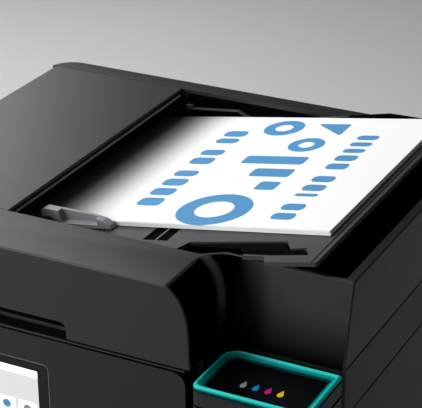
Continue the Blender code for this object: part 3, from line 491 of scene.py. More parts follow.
def soften(item, width, segments=3, angle=32.0):
    """Rounds the sharp edges and shades the result smoothly."""
    item.data.shade_smooth()
    item.data.set_sharp_from_angle(angle=math.radians(angle))
    if width > 0:
        bevel = item.modifiers.new("edges", "BEVEL")
        bevel.width = width * MM
        bevel.segments = segments
        bevel.limit_method = "ANGLE"
        bevel.angle_limit = math.radians(angle)
        bevel.harden_normals = True
        bevel.miter_outer = "MITER_ARC"
        bevel.use_clamp_overlap = True
    return item


def place(item, body, slot, replaced=(), width=0.0, segments=3, angle=32.0):
    """Finishes a piece: edges, body and the CAD nodes it stands for; the slot argument is not used."""
    soften(item, width, segments, angle)
    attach(item, body)
    if replaced:
        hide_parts(*replaced)
    return item


def refine(node, look, width):
    """Gives a CAD node a finish, and rounds its edges without touching its mesh."""
    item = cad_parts[node]
    item.data.materials.clear()
    item.data.materials.append(LOOKS[look])
    if width > 0:
        weld = item.modifiers.new("weld", "WELD")
        weld.merge_threshold = 0.00001
        flat = item.modifiers.new("flat", "DECIMATE")
        flat.decimate_type = "DISSOLVE"
        flat.angle_limit = math.radians(0.5)
        bevel = item.modifiers.new("edges", "BEVEL")
        bevel.width = width * MM
        bevel.segments = 2
        bevel.limit_method = "ANGLE"
        bevel.angle_limit = math.radians(35)
        bevel.harden_normals = True


# ---------------------------------------------------------------- document cover

def cover_ring(drop, inset):
    """Cover outline at a share `drop` of the way down, pulled in by `inset`.

    The front right corner is cut away in an S: the wall of this niche leans back and
    the shoulder beside it swells towards the bottom.
    """
    shoulder = SHOULDER_X + SHOULDER_FLARE * (1 - math.exp(-SHOULDER_BEND * drop))
    niche = NICHE_DEPTH - NICHE_LEAN * drop
    sweep = NICHE_SWEEP - NICHE_SWEEP_LOSS * drop
    side = HALF - inset
    back = FRONT + COVER_REAR - inset
    front = FRONT + inset
    return fillet([
        (-side, front, CORNER_RADIUS - inset),
        (shoulder - inset, front, SHOULDER_ROUND),
        (shoulder - inset, FRONT + niche + inset, sweep + inset),
        (side, FRONT + niche + inset, NICHE_EDGE_ROUND),
        (side, back, CORNER_RADIUS - inset),
        (-side, back, CORNER_RADIUS - inset),
    ], steps=20)


def build_document_cover():
    height = COVER_TOP - COVER_BOTTOM
    edge = 1.2
    levels = (1.0, 0.9, 0.8, 0.7, 0.6, 0.5, 0.42, 0.34, 0.26, 0.2, 0.15, 0.11, 0.08, 0.055, 0.035)
    rings = [cover_ring(share, 0.0) for share in levels]
    stations = [COVER_TOP - height * share for share in levels]
    for step in range(7):
        turn = math.radians(15.0 * step)
        drop = edge * (1 - math.sin(turn))
        rings.append(cover_ring(drop / height, edge * (1 - math.cos(turn))))
        stations.append(COVER_TOP - drop)
    shell = loft("cover_shell", rings, stations, "Z", "cover_grey")

    right = HALF - RIM_RIGHT
    recess = [(-60, BAND, 0), (82, BAND, 4), (97, NICHE_DEPTH + 2.2, 6), (right, NICHE_DEPTH + 2.2, 2),
              (right, RECESS_REAR, 2), (-60, RECESS_REAR, 0)]
    outlet = prism("recess", fillet([(x, FRONT + y, r) for x, y, r in recess], 6), (RECESS_FLOOR, 340), "Z", "cover_grey")
    bay_profile = [(-59, 345), (-59, RECESS_FLOOR), (-59.5, 296), (-77, 298.6), (-120, 290), (-184.5, 290),
                   (-184.5, 301), (-200, 301), (-200, 345)]
    bay = prism("bay", bay_profile, (FRONT + BAND, FRONT + RECESS_REAR), "Y", "cover_grey")
    notch_profile = [(-70, 260, 0), (8.4, 260, 0), (8.4, 284.4, 5), (-70, 284.4, 5)]
    notch = prism("notch", fillet(notch_profile, 8), (FRONT - 5, FRONT + 9), "Y", "cover_grey")
    pocket = slab("pocket", (-166, 151), (60, 296), (260, 276.8), "cover_grey")
    hollow = slab("hollow", (-178, 74), (12, 44), (260, 322), "cover_grey")
    cut(shell, outlet, bay, notch, pocket, hollow)
    lugs = [slab("lug", (side * 110.7 - 6.7, side * 110.7 + 6.7), (312, 325), (273.5, 296), "cover_grey", 3.0)
            for side in (-1, 1)]
    join(shell, *lugs)
    # Faces of the niche get the niche look, with its painted shade and painted highlight.
    shell.data.materials.append(LOOKS["niche"])
    for face in shell.data.polygons:
        spot = face.center / MM
        inside = spot.x > SHOULDER_X and FRONT + 1.0 < spot.y < FRONT + NICHE_DEPTH + 1.0 and COVER_BOTTOM < spot.z
        if inside and spot.x < HALF - 1.5 and spot.z < COVER_TOP - 0.3 and face.normal.x - face.normal.y > 0.5:
            face.material_index = 1
    place(shell, "document_cover", "cover_grey", ["document_cover"], 0.7)

    liner = [slab("liner", (-58.6, right - 0.3), (BAND + 12.0, RECESS_REAR - 0.3), (RECESS_FLOOR + 0.05, RECESS_FLOOR + 0.9),
                  "inner_black", 2.0)]
    for index in range(7):
        x = -40.0 + 32.0 * index
        liner.append(slab("rib", (x - 0.8, x + 0.8), (64, RECESS_REAR - 6), (RECESS_FLOOR + 0.8, RECESS_FLOOR + 2.6),
                          "inner_black", 0.7))
    place(join(liner[0], *liner[1:]), "document_cover", "inner_black", (), 0.3)

    # Painted shade: black sheets over the rear and right inner walls of the recess.
    recess_shade_sheets = [slab("wall", (-58.6, right - 0.3), (RECESS_REAR - 0.45, RECESS_REAR - 0.05), (RECESS_FLOOR + 0.5, COVER_TOP - 3.0),
                  "inner_black", 0.1),
             slab("wall", (right - 0.45, right - 0.05), (NICHE_DEPTH + 8.0, RECESS_REAR - 0.6), (RECESS_FLOOR + 0.5, COVER_TOP - 3.0),
                  "inner_black", 0.1)]
    place(merge("recess_painted_shade", recess_shade_sheets), "document_cover", "inner_black", (), 0.0)

    grip = slab("notch_grip", (-69.4, 7.8), (2.2, 8.9), (279.6, 284.2), "inner_black", 1.0)
    place(grip, "document_cover", "inner_black", (), 0.6)


def build_document_mat():
    """White backing pad with foam edge, quilted by its own soft surface."""
    low, high = limits("document_mat")
    inset = 1.6
    rings = []
    for shrink in (0.0, 0.0, 0.5, inset):
        corners = box_corners((low.x + shrink, high.x - shrink), (low.y + shrink, high.y - shrink), 3.0)
        rings.append(fillet(corners, 6))
    stations = [high.z, low.z + 1.2, low.z + 0.5, low.z]
    pad = loft("backing_pad", rings, stations, "Z", "white_pad")
    place(pad, "document_cover", "white_pad", ["document_mat"], 0.0)


# ---------------------------------------------------------------- document feeder

def build_feeder_cover():
    front = BAND + 0.5
    rear = RECESS_REAR - 0.5
    left = -HALF + 0.2
    profile = [(left, 303.5, 0), (FEEDER_EDGE - 6, 303.5, 0), (FEEDER_EDGE - 6, 317, 0), (FEEDER_EDGE - 1.2, 319, 1),
               (FEEDER_EDGE - 1.2, 325.2, 0), (FEEDER_EDGE - 0.9, 326.9, 0.4), (FEEDER_EDGE, COVER_TOP - 1.2, 0.6),
               (FEEDER_EDGE - 0.8, COVER_TOP, 1.0), (left, COVER_TOP, 7)]
    cover = prism("feeder_cover", fillet(profile, 8), (FRONT + front, FRONT + rear), "Y", "feeder_grey")
    hollow = [(left + 3, 290), (FEEDER_EDGE - 3, 290), (FEEDER_EDGE - 3, 320), (FEEDER_EDGE - 7, 325.5), (left + 3, 325.5)]
    inside = prism("inside", hollow, (FRONT + front + 2.5, FRONT + rear - 2.5), "Y", "feeder_grey")
    cheeks = slab("cheeks", (left + 3, 0), (front - 5, rear + 5), (280, 318.5), "feeder_grey")
    cut(cover, inside, cheeks)
    place(cover, "adf_cover", "cover_grey", ["adf_cover"], 0.45)

    # The lip is a real part; its light grey stands in for the highlight along its edge, a painted highlight.
    lip_profile = [(FEEDER_EDGE - 1.6, 325.0), (FEEDER_EDGE + 0.9, 325.2), (FEEDER_EDGE + 1.2, 325.9),
                   (FEEDER_EDGE - 1.6, 326.5)]
    lip = prism("feeder_lip_painted_highlight", lip_profile, (FRONT + 55, FRONT + 296), "Y", "guide_grey")
    place(lip, "adf_cover", "tray_grey", (), 0.15)
    # Painted shadow: a black sheet over the face under the feeder cover's edge, where the mouth is in shade.
    mouth_shade_profile = [(FEEDER_EDGE - 2, COVER_TOP - 3.0), (FEEDER_EDGE + 0.1, COVER_TOP - 2.4), (FEEDER_EDGE - 0.75, 326.8),
                    (FEEDER_EDGE - 1.0, 325.2), (FEEDER_EDGE - 1.05, 319.2), (FEEDER_EDGE - 2, 318.8)]
    trim = prism("feeder_mouth_painted_shadow", mouth_shade_profile, (FRONT + front + 0.6, FRONT + rear - 0.6), "Y", "inner_black")
    place(trim, "adf_cover", "inner_black", (), 0.0)

    ribs = []
    for index in range(6):
        depth = 78.0 + 38.0 * index
        ribs.append(slab("rib", (-176, -78), (depth, depth + 1.6), (318.6, 325.3), "inner_black", 0.5))
    idlers = [turned("idler", ((FRONT + d - 7, 4.6), (FRONT + d - 6, 5.4), (FRONT + d + 6, 5.4), (FRONT + d + 7, 4.6)),
                     (-150, 319.4), "Y", "inner_black", 24) for d in (134, 214)]
    place(merge("feeder_ribs", ribs + idlers), "adf_cover", "inner_black", (), 0.2)


def build_feeder_rollers():
    """Rubber tyres with fine grooves on steel shafts."""
    rows = (("adf_pickup_roller", 44.0, 2), ("adf_feed_roller", 88.0, 3))
    for node, length, tyres in rows:
        low, high = limits(node)
        centre = ((low.x + high.x) / 2, (low.z + high.z) / 2)
        radius = (high.x - low.x) / 2
        middle = (low.y + high.y) / 2
        shaft = turned(node + "_shaft", ((low.y, 2.6), (low.y + 1, 3.0), (high.y - 1, 3.0), (high.y, 2.6)),
                       centre, "Y", "steel", 28)
        place(shaft, node, "steel", (), 0.0)
        pitch = length / tyres
        for index in range(tyres):
            begin = middle - length / 2 + pitch * index + 1.5
            end = begin + pitch - 3.0
            profile = [(begin, 3.1), (begin, radius - 2.4), (begin + 1.0, radius - 1.9)]
            grooves = 8
            step = (end - begin - 2.0) / grooves
            for groove in range(grooves):
                at = begin + 1.0 + step * groove
                profile += [(at, radius - 0.5), (at + step * 0.7, radius - 0.05), (at + step * 0.85, radius - 0.7)]
            profile += [(end, radius - 2.4), (end, 3.1)]
            tyre = turned(f"{node}_tyre_{index + 1}", profile, centre, "Y", "rubber", 36)
            place(tyre, node, "rubber", [node] if index == 0 else (), 0.0)


def sloped(x, depth):
    """Tray plane coordinates from world x and depth."""
    return ((x - TRAY_HINGE_X) / math.cos(TILT), FRONT + depth)


def sloped_prism(name, corners, z, look, steps=6):
    outline = [(*sloped(x, depth), radius) for x, depth, radius in corners]
    return prism(name, fillet(outline, steps), z, "Z", look)


def sloped_box(name, x, depth, z, look, radius=0.0):
    return sloped_prism(name, [(a, b, radius) for a, b, _ in box_corners(x, depth, radius)], z, look)


def tilt(item):
    """Lays a piece modelled flat on the tilted tray plane."""
    turn = Matrix.Rotation(-TILT, 4, "Y")
    shift = Matrix.Translation(Vector((TRAY_HINGE_X, 0.0, TRAY_HINGE_Z)) * MM)
    item.data.transform(shift @ turn)
    return item


def build_feeder_tray():
    plan = [
        (TRAY_HINGE_X, 50, 0), (60, 50, 0), (66, 66, 1), (132.5, 75, 1.5), (139.5, 64, 0.5), (149.5, 66.5, 1),
        (155.5, 56, 0.5), (130, 52.2, 1), (112, 52, 1), (112, 50.2, 0), (127.5, 50.2, 0.5), (131, 42.5, 1),
        (TRAY_RIGHT, 45.6, 1.5), (TRAY_RIGHT, 298.5, 3), (TRAY_HINGE_X, 298.5, 0),
    ]
    tray = sloped_prism("feeder_tray", plan, (-TRAY_THICK, 0), "tray_grey")
    lip_profile = [(x / math.cos(TILT), rise) for x, rise in ((130, -1), (134, 2.8), (191, 5.9), (228, 0.6), (230, -1))]
    lip = prism("lip", lip_profile, (FRONT + 295.6, FRONT + 298.4), "Y", "tray_grey")
    slot = sloped_box("slot", (30.0, 48.5), (66, 290), (-1.6, 5), "tray_grey")
    rim_groove = sloped_box("rim_groove", (161.6, 162.6), (46, 297), (-0.7, 5), "tray_grey")
    join(tray, lip)
    cut(tray, slot, rim_groove)
    tilt(tray)
    place(tray, "adf_tray", "tray_grey", ["adf_input_tray"], 0.35)

    liner = sloped_box("tray_slot_liner", (30.3, 48.2), (66.3, 289.7), (-1.58, -1.2), "inner_black", 0.5)
    rail = sloped_box("tray_slot_rail", (38.9, 39.7), (66.6, 289.4), (-1.3, -0.25), "icon_grey", 0.2)
    for item, slot_name in ((liner, "inner_black"), (rail, "tray_grey")):
        tilt(item)
        place(item, "adf_tray", slot_name, (), 0.1)

    hump = [(x / math.cos(TILT), rise) for x, rise in ((147, 1.2), (150, 3.6), (191, 6.2), (226, 1.0), (226, 0.2))]
    cap = prism("tray_lip_cap", hump, (FRONT + 295.2, FRONT + 298.8), "Y", "inner_black")
    tilt(cap)
    place(cap, "adf_tray", "inner_black", (), 0.3)


def build_stopper():
    plan = [(68, 61.5, 0), (105, 61.5, 2), (112, 54, 0.5), (130, 54, 0.5), (153.5, 57.5, 1), (148.5, 64.8, 1),
            (138.6, 62.5, 0.5), (131.5, 73.2, 1), (68, 64.8, 0.5)]
    arm = sloped_prism("stopper_arm", plan, (-2.4, -0.6), "inner_black")
    pad = sloped_prism("stopper_step", [(112, 57.5, 1), (136, 58.6, 1), (131.4, 68.6, 1), (112, 66.6, 1)], (-0.8, -0.1),
                       "inner_black")
    join(arm, pad)
    tilt(arm)
    place(arm, "document_stopper", "inner_black", ["document_stopper"], 0.25)


def build_rear_guide(face):
    """Fixed-looking partner of the front guide: low rail with a stub, darker than the front guide as painted shade, and
    a black strip of painted shade.
    """
    left = -56.0
    reach = 3.4
    stations = ((left, 0.4, 0), (left, 13.4, 0.8), (left + 6, 13.0, 0.8), (left + 6.8, 10.4, 0.4), (left + 46, 8.6, 3),
                (left + 54, 3.4, 1.0), (left + 55, 0.4, 0))
    outline = fillet([((x - TRAY_HINGE_X) / math.cos(TILT), rise, radius) for x, rise, radius in stations], 6)
    # Tray grey here is darker than the front guide's grey; the difference is painted shade.
    rail = prism("guide_rear", outline, (FRONT + face, FRONT + face + reach), "Y", "tray_grey")
    place(tilt(rail), "edge_guide_rear", "tray_grey", ["edge_guide_rear"], 0.4)
    # Painted shade: a black strip on the lower face of the rail, towards the paper.
    stations = ((left + 0.6, 0.8, 0), (left + 0.6, 9.6, 0.5), (left + 46, 7.6, 3), (left + 52, 3.2, 1), (left + 53, 0.8, 0))
    outline = fillet([((x - TRAY_HINGE_X) / math.cos(TILT), rise, radius) for x, rise, radius in stations], 6)
    strip = prism("guide_rear_painted_shade", outline, (FRONT + face - 0.2, FRONT + face + 0.3), "Y", "inner_black")
    place(tilt(strip), "edge_guide_rear", "inner_black", (), 0.0)


def build_guide(side, face, sign):
    """Edge guide: wall against the paper, arched block, finger ledge and a swept end."""
    reach = 7.0
    wall = 2.2
    left = -56.0
    top = [(left, 0.4, 0), (left, 12.5, 1.0), (left + 3, 14.6, 1.0), (left + 39, 9.2, 3), (left + 49, 6.6, 4),
           (left + 54, 3.4, 1.0), (left + 55, 0.4, 0)]
    outline = fillet([((x - TRAY_HINGE_X) / math.cos(TILT), rise, radius) for x, rise, radius in top], 6)

    def span(near, far):
        return sorted((face + sign * near, face + sign * far))

    def across(near, far):
        return [FRONT + value for value in span(near, far)]

    body = prism(f"guide_{side}", outline, across(0, reach), "Y", "guide_grey")
    ledge_top = 4.0
    pocket = [(left + 15.5, ledge_top), (left + 44, ledge_top - 0.6), (left + 42, 20), (left + 13.5, 20)]
    pocket = [((x - TRAY_HINGE_X) / math.cos(TILT), rise) for x, rise in pocket]
    tools = [prism("pocket", pocket, across(wall, reach + 2), "Y", "guide_grey")]
    arch = [(left - 2, -1, 0), (left + 9.5, -1, 0), (left + 9.5, 8.0, 4.0), (left - 2, 8.0, 0)]
    arch = fillet([((x - TRAY_HINGE_X) / math.cos(TILT), rise, radius) for x, rise, radius in arch], 8)
    tools.append(prism("arch", arch, across(wall + 0.4, reach + 2), "Y", "guide_grey"))
    cut(body, *tools)
    tilt(body)
    place(body, f"edge_guide_{side}", "guide_grey", [f"edge_guide_{side}"], 0.55)

    rack_x = (left + 20, left + 52)
    teeth = []
    for index in range(9):
        x = rack_x[0] + 3.5 * index
        teeth.append(sloped_box("tooth", (x, x + 1.6), span(reach + 0.2, reach + 1.4), (0.2, 0.9), "tray_grey", 0.2))
    strip = tilt(merge(f"guide_scale_{side}", teeth))
    place(strip, f"edge_guide_{side}", "tray_grey", (), 0.0)


def build_sheets():
    """A stack of leaves, each a little off its neighbour, with a printed blue chart on the top one."""
    random.seed(5)
    leaves = 9
    pitch = SHEET_STACK / leaves
    stack = []
    for index in range(leaves):
        slip = random.uniform(-0.18, 0.18)
        x = (TRAY_HINGE_X + 0.6, SHEET_RIGHT - 0.25 + slip)
        depth = (SHEET_FRONT + 0.25 + slip, SHEET_FRONT + SHEET_WIDTH - 0.25 + slip)
        base = SHEET_BASE + pitch * index
        stack.append(sloped_box("leaf", x, depth, (base, base + pitch - 0.03), "paper"))
    pages = tilt(merge("document_stack", stack))
    place(pages, "document_sheets", "paper", ["document_sheets"], 0.0)

    level = (SHEET_BASE + SHEET_STACK - 0.06, SHEET_BASE + SHEET_STACK + 0.04)
    marks = []

    def bar(near, far, start, stop, radius):
        """Rounded bar between two distances down the slope and two depths."""
        corners = box_corners((near, far), (FRONT + start, FRONT + stop), min(radius, 0.45 * (stop - start)))
        marks.append(prism("bar", fillet(corners, 6), level, "Z", "ink_blue"))

    def ring(centre, outer, inner):
        solid = turned("ring", ((level[0], outer), (level[1], outer)), centre, "Z", "ink_blue", 56)
        hole = turned("hole", ((level[0] - 1, inner), (level[1] + 1, inner)), centre, "Z", "ink_blue", 56)
        marks.append(cut(solid, hole))

    # Heading: blocks in place of words, read from the front of the printer to its rear
    for start, stop in ((114, 128), (133, 146), (151, 164), (169, 180), (193, 206), (211, 222), (236, 246), (250, 262)):
        bar(74, 93, start, stop, 4.5)
    # Middle: a ring chart, three rising columns, and two smaller rings beside a wedge
    ring((139, FRONT + 112), 27, 14)
    for index, near in enumerate((150, 134, 116)):
        start = 149 + 24 * index
        bar(near, 166, start, start + 15, 3.0)
    ring((152, FRONT + 236), 14, 6)
    ring((118, FRONT + 270), 16, 7)
    wedge = [(170, FRONT + 256, 1.5), (170, FRONT + 280, 1.5), (142, FRONT + 280, 1.5)]
    marks.append(prism("wedge", fillet(wedge, 4), level, "Z", "ink_blue"))
    # Caption: a row of smaller blocks
    for start, stop in ((100, 111), (116, 127), (140, 145), (150, 161), (166, 177), (190, 201), (206, 217), (222, 230),
                        (235, 243), (248, 257)):
        bar(186, 203, start, stop, 4.0)
    chart = tilt(merge("sheet_print", marks))
    place(chart, "document_sheets", "cyan_ink", (), 0.0)


# ---------------------------------------------------------------- ink tank unit

def tank_corners(inset, rear):
    left = TANK_LEFT + inset
    right = HALF - 0.3 - inset
    front = FRONT + TANK_DEPTH + inset
    back = FRONT + rear - inset
    return [(left, front, 5), (right, front, 5), (right, back, 1.5), (left, back, 12.5 - inset)]


def tank_ring(inset, rear=TANK_REAR + 0.2):
    return fillet(tank_corners(0.1 + inset, rear), 12)


def build_ink_lid():
    """Gloss lid with a sunken panel inside a rounded teal rim."""
    low, high = LID_LOW.z, LID_TOP
    lid = loft("lid_body", [tank_ring(0.5), tank_ring(0.0), tank_ring(0.0)], (low, low + 0.6, 266.2), "Z", "shell_black")
    hollow = prism("hollow", fillet(tank_corners(3.0, TANK_REAR), 12), (240, 264.4), "Z", "shell_black")
    cut(lid, hollow)
    place(lid, "ink_lid", "gloss_black", ["ink_tank_lid"], 0.0)

    panel = loft("lid_panel", [tank_ring(3.2), tank_ring(3.2)], (265.2, 267.4), "Z", "gloss_black")
    place(panel, "ink_lid", "gloss_black", (), 0.0)

    section = []
    middle = 1.5
    for step in range(13):
        turn = math.pi * step / 12
        section.append((middle - middle * math.cos(turn), high - 0.8 + 1.5 * math.sin(turn)))
    bm = bmesh.new()
    loops = []
    for inset, z in [(0.0, 266.5)] + section + [(4.2, 269.0), (6.6, 267.45), (6.6, 266.5)]:
        loops.append([bm.verts.new((x, y, z)) for x, y in tank_ring(inset)])
    count = len(loops[0])
    for a, b in zip(loops, loops[1:] + loops[:1]):
        for index in range(count):
            after = (index + 1) % count
            bm.faces.new((a[index], a[after], b[after], b[index]))
    # The rim's inner slope carries painted shade from its look.
    rim = add_mesh("lid_rim", bm, "teal_painted_shade")
    place(rim, "ink_lid", "teal", ["ink_lid_rim"], 0.0)

    # Painted highlight: a pale teal line along the crown of the rim.
    bm = bmesh.new()
    crown = ((1.1, high + 0.4), (1.25, high + 0.76), (1.75, high + 0.76), (1.9, high + 0.4))
    loops = [[bm.verts.new((x, y, z)) for x, y in tank_ring(inset)] for inset, z in crown]
    for a, b in zip(loops, loops[1:] + loops[:1]):
        for index in range(count):
            after = (index + 1) % count
            bm.faces.new((a[index], a[after], b[after], b[index]))
    place(add_mesh("lid_rim_painted_highlight", bm, "teal_painted_highlight"), "ink_lid", "teal", (), 0.0)

    for index, ink in enumerate(("black_ink", "cyan_ink", "magenta_ink", "yellow_ink")):
        centre = Vector((134.0 + 8.6 * index, FRONT + 9.0))
        outline = []
        for step in range(33):
            turn = 2 * math.pi * step / 32
            pinch = math.sin(turn / 2) ** 1.6
            outline.append((centre.x + 2.9 * math.sin(turn) * pinch, centre.y - 0.8 + 3.9 * math.cos(turn)))
        look = "icon_grey" if ink == "black_ink" else ink
        drop = prism(f"lid_drop_{ink}", outline[:-1], (267.3, 267.7), "Z", look)
        place(drop, "ink_lid", ink, (), 0.0)


def build_ink_details():
    """Level marks and a surround on the window, and ridged plugs with straps and coloured dots."""
    low, high = limits("ink_level_window")
    marks = []
    for index in range(4):
        x = 124.0 + 16.6 * index
        for z, width in ((116.0, 9.0), (128.0, 4.0), (141.0, 4.0), (154.0, 4.0), (167.0, 4.0), (180.0, 4.0), (192.0, 9.0)):
            marks.append(slab("mark", (x - width / 2, x + width / 2), (TANK_DEPTH - 0.1, TANK_DEPTH + 0.3), (z, z + 0.7),
                              "label_grey"))
    place(merge("level_marks", marks), "main", "tray_grey", (), 0.0)
    frame_outer = prism("window_surround", fillet(box_corners((low.x - 3.2, high.x + 3.2), (low.z - 3.2, high.z + 3.2), 4.0), 8),
                        (FRONT + TANK_DEPTH + 0.05, FRONT + TANK_DEPTH + 0.9), "Y", "gloss_black")
    cut(frame_outer, prism("hole", fillet(box_corners((low.x, high.x), (low.z, high.z), 1.5), 6),
                           (FRONT + TANK_DEPTH - 3, FRONT + TANK_DEPTH + 3), "Y", "gloss_black"))
    place(frame_outer, "main", "gloss_black", (), 0.2)
    for ink in ("black", "cyan", "magenta", "yellow"):
        low, high = limits(f"tank_cap_{ink}")
        centre = ((low.x + high.x) / 2, low.y + 6.4)
        sides = 48
        rings = []
        for z, radius, ridge in ((low.z, 6.0, 0.0), (low.z + 0.5, 6.25, 0.15), (high.z - 1.6, 6.1, 0.15),
                                 (high.z - 0.5, 5.6, 0.0), (high.z, 4.6, 0.0)):
            ring = []
            for step in range(sides):
                turn = 2 * math.pi * step / sides
                reach = radius + (ridge if step % 4 < 2 else -ridge)
                ring.append((centre[0] + reach * math.cos(turn), centre[1] + reach * math.sin(turn)))
            rings.append(ring)
        cap = loft(f"cap_{ink}", rings, (low.z, low.z + 0.5, high.z - 1.6, high.z - 0.5, high.z), "Z", "rubber")
        strap = slab("strap", (centre[0] - 2.4, centre[0] + 2.4), (14, 21), (234.2, 235.8), "rubber", 1.2)
        join(cap, strap)
        place(cap, f"tank_cap_{ink}", "rubber", [f"tank_cap_{ink}"], 0.0)
        dot = turned(f"cap_dot_{ink}", ((high.z - 0.3, 3.0), (high.z + 0.15, 2.8)), centre, "Z", f"{ink}_ink", 28)
        place(dot, f"tank_cap_{ink}", f"{ink}_ink", (), 0.0)


# ---------------------------------------------------------------- control panel

def build_screen():
    """Bezel, display with a generic home page of a dial and tiles, and a trim round it."""
    low, high = limits("touch_screen")
    front = FRONT + 1.0
    bezel = prism("screen_bezel", fillet(box_corners((low.x, high.x), (low.z, high.z), 3.6), 8), (front, FRONT + 5.4), "Y",
                  "bezel_black")
    view_x = (low.x + 3.4, high.x - 9.3)
    view_z = (low.z + 4.0, high.z - 7.1)
    cut(bezel, prism("well", fillet(box_corners(view_x, view_z, 0.8), 4), (front - 2, front + 0.6), "Y", "gloss_black"))
    place(bezel, "control_panel", "gloss_black", ["touch_screen"], 0.25)

    page = prism("screen_page", box_points(view_x, view_z, 0.2), (front + 0.35, front + 0.75), "Y", "screen")
    place(page, "control_panel", "screen", (), 0.0)
    strip_height = 5.7
    banner_height = 18.0
    strip_z = (view_z[1] - strip_height, view_z[1])
    strip = prism("screen_status_strip", box_points(view_x, strip_z, 0.2), (front + 0.25, front + 0.5), "Y", "screen_white")
    place(strip, "control_panel", "screen", (), 0.0)
    dial = turned("screen_dial", ((front + 0.12, 6.0), (front + 0.3, 6.0)),
                  (view_x[0] + 12.0, strip_z[0] - banner_height / 2), "Y", "teal", 40)
    place(dial, "control_panel", "screen", (), 0.0)
    columns = 3
    margin = 2.2
    pitch_x = (view_x[1] - view_x[0] - margin) / columns
    pitch_z = view_z[1] - strip_height - banner_height - view_z[0] - margin
    tiles = []
    for index in range(columns):
        x = view_x[0] + margin + pitch_x * index
        z = view_z[0] + margin
        corners = box_corners((x, x + pitch_x - margin), (z, z + pitch_z - margin), 1.6)
        tiles.append(prism("tile", fillet(corners, 5), (front + 0.2, front + 0.5), "Y", "screen_white"))
        centre = (x + (pitch_x - margin) / 2, z + (pitch_z - margin) / 2)
        look = ("teal", "ink_blue", "icon_grey")[index]
        icon = turned(f"screen_icon_{index + 1}", ((front + 0.12, 3.2), (front + 0.3, 3.2)), centre, "Y", look, 24)
        place(icon, "control_panel", "screen", (), 0.0)
    place(merge("screen_tiles", tiles), "control_panel", "screen", (), 0.0)
    # The trim ring is a real part; its lighter grey stands in for the highlight along the screen's edge, a painted
    # highlight.
    trim = prism("screen_trim", fillet(box_corners((low.x - 0.3, high.x + 0.3), (low.z - 0.3, high.z + 0.3), 3.9), 8),
                 (FRONT + 0.35, FRONT + 1.3), "Y", "trim_painted_highlight")
    inner = prism("hole", fillet(box_corners((low.x + 0.3, high.x - 0.3), (low.z + 0.3, high.z - 0.3), 3.3), 8),
                  (FRONT - 2, FRONT + 3), "Y", "tray_grey")
    place(cut(trim, inner), "control_panel", "tray_grey", (), 0.1)


def box_points(x, z, radius):
    return fillet(box_corners(x, z, radius), 3)


def build_power_button():
    low, high = limits("power_button")
    centre = ((low.x + high.x) / 2, (low.z + high.z) / 2)
    radius = (high.x - low.x) / 2
    profile = [(high.y, radius)]
    for step in range(7):
        turn = math.radians(15 * step)
        profile.append((low.y + 0.9 - 0.9 * math.sin(turn), radius - 0.9 + 0.9 * math.cos(turn)))
    profile.append((low.y + 0.25, radius * 0.55))
    button = turned("power_key", profile, centre, "Y", "gloss_black", 48)
    place(button, "power_button", "gloss_black", ["power_button"], 0.0)
    face = low.y + 0.25
    arc = turned("power_mark", ((face - 0.12, 2.9), (face + 0.2, 2.9)), centre, "Y", "label_grey", 40)
    hole = turned("hole", ((face - 2, 2.25), (face + 2, 2.25)), centre, "Y", "label_grey", 40)
    gap = prism("gap", box_points((centre[0] - 1.1, centre[0] + 1.1), (centre[1] + 0.6, centre[1] + 4), 0.0),
                (face - 2, face + 2), "Y", "label_grey")
    cut(arc, hole, gap)
    stem = prism("stem", box_points((centre[0] - 0.32, centre[0] + 0.32), (centre[1] + 0.5, centre[1] + 3.4), 0.2),
                 (face - 0.12, face + 0.2), "Y", "label_grey")
    place(merge("power_symbol", [arc, stem]), "power_button", "tray_grey", (), 0.0)


# ---------------------------------------------------------------- lower body details

def screw(name, centre, station, axis, direction):
    """Pan-head screw with a cross recess; direction is the side its head points to."""
    profile = [(station - 0.2 * direction, 3.2), (station + 0.5 * direction, 3.2), (station + 1.1 * direction, 2.5),
               (station + 1.3 * direction, 1.4)]
    head = turned(name, profile, centre, axis, "chrome", 28)
    tools = []
    for wide, tall in ((2.0, 0.28), (0.28, 2.0)):
        cross = box_points((centre[0] - wide, centre[0] + wide), (centre[1] - tall, centre[1] + tall), 0.0)
        span = sorted((station + 0.6 * direction, station + 3.0 * direction))
        tools.append(prism("cross", cross, span, axis, "chrome"))
    return cut(head, *tools)


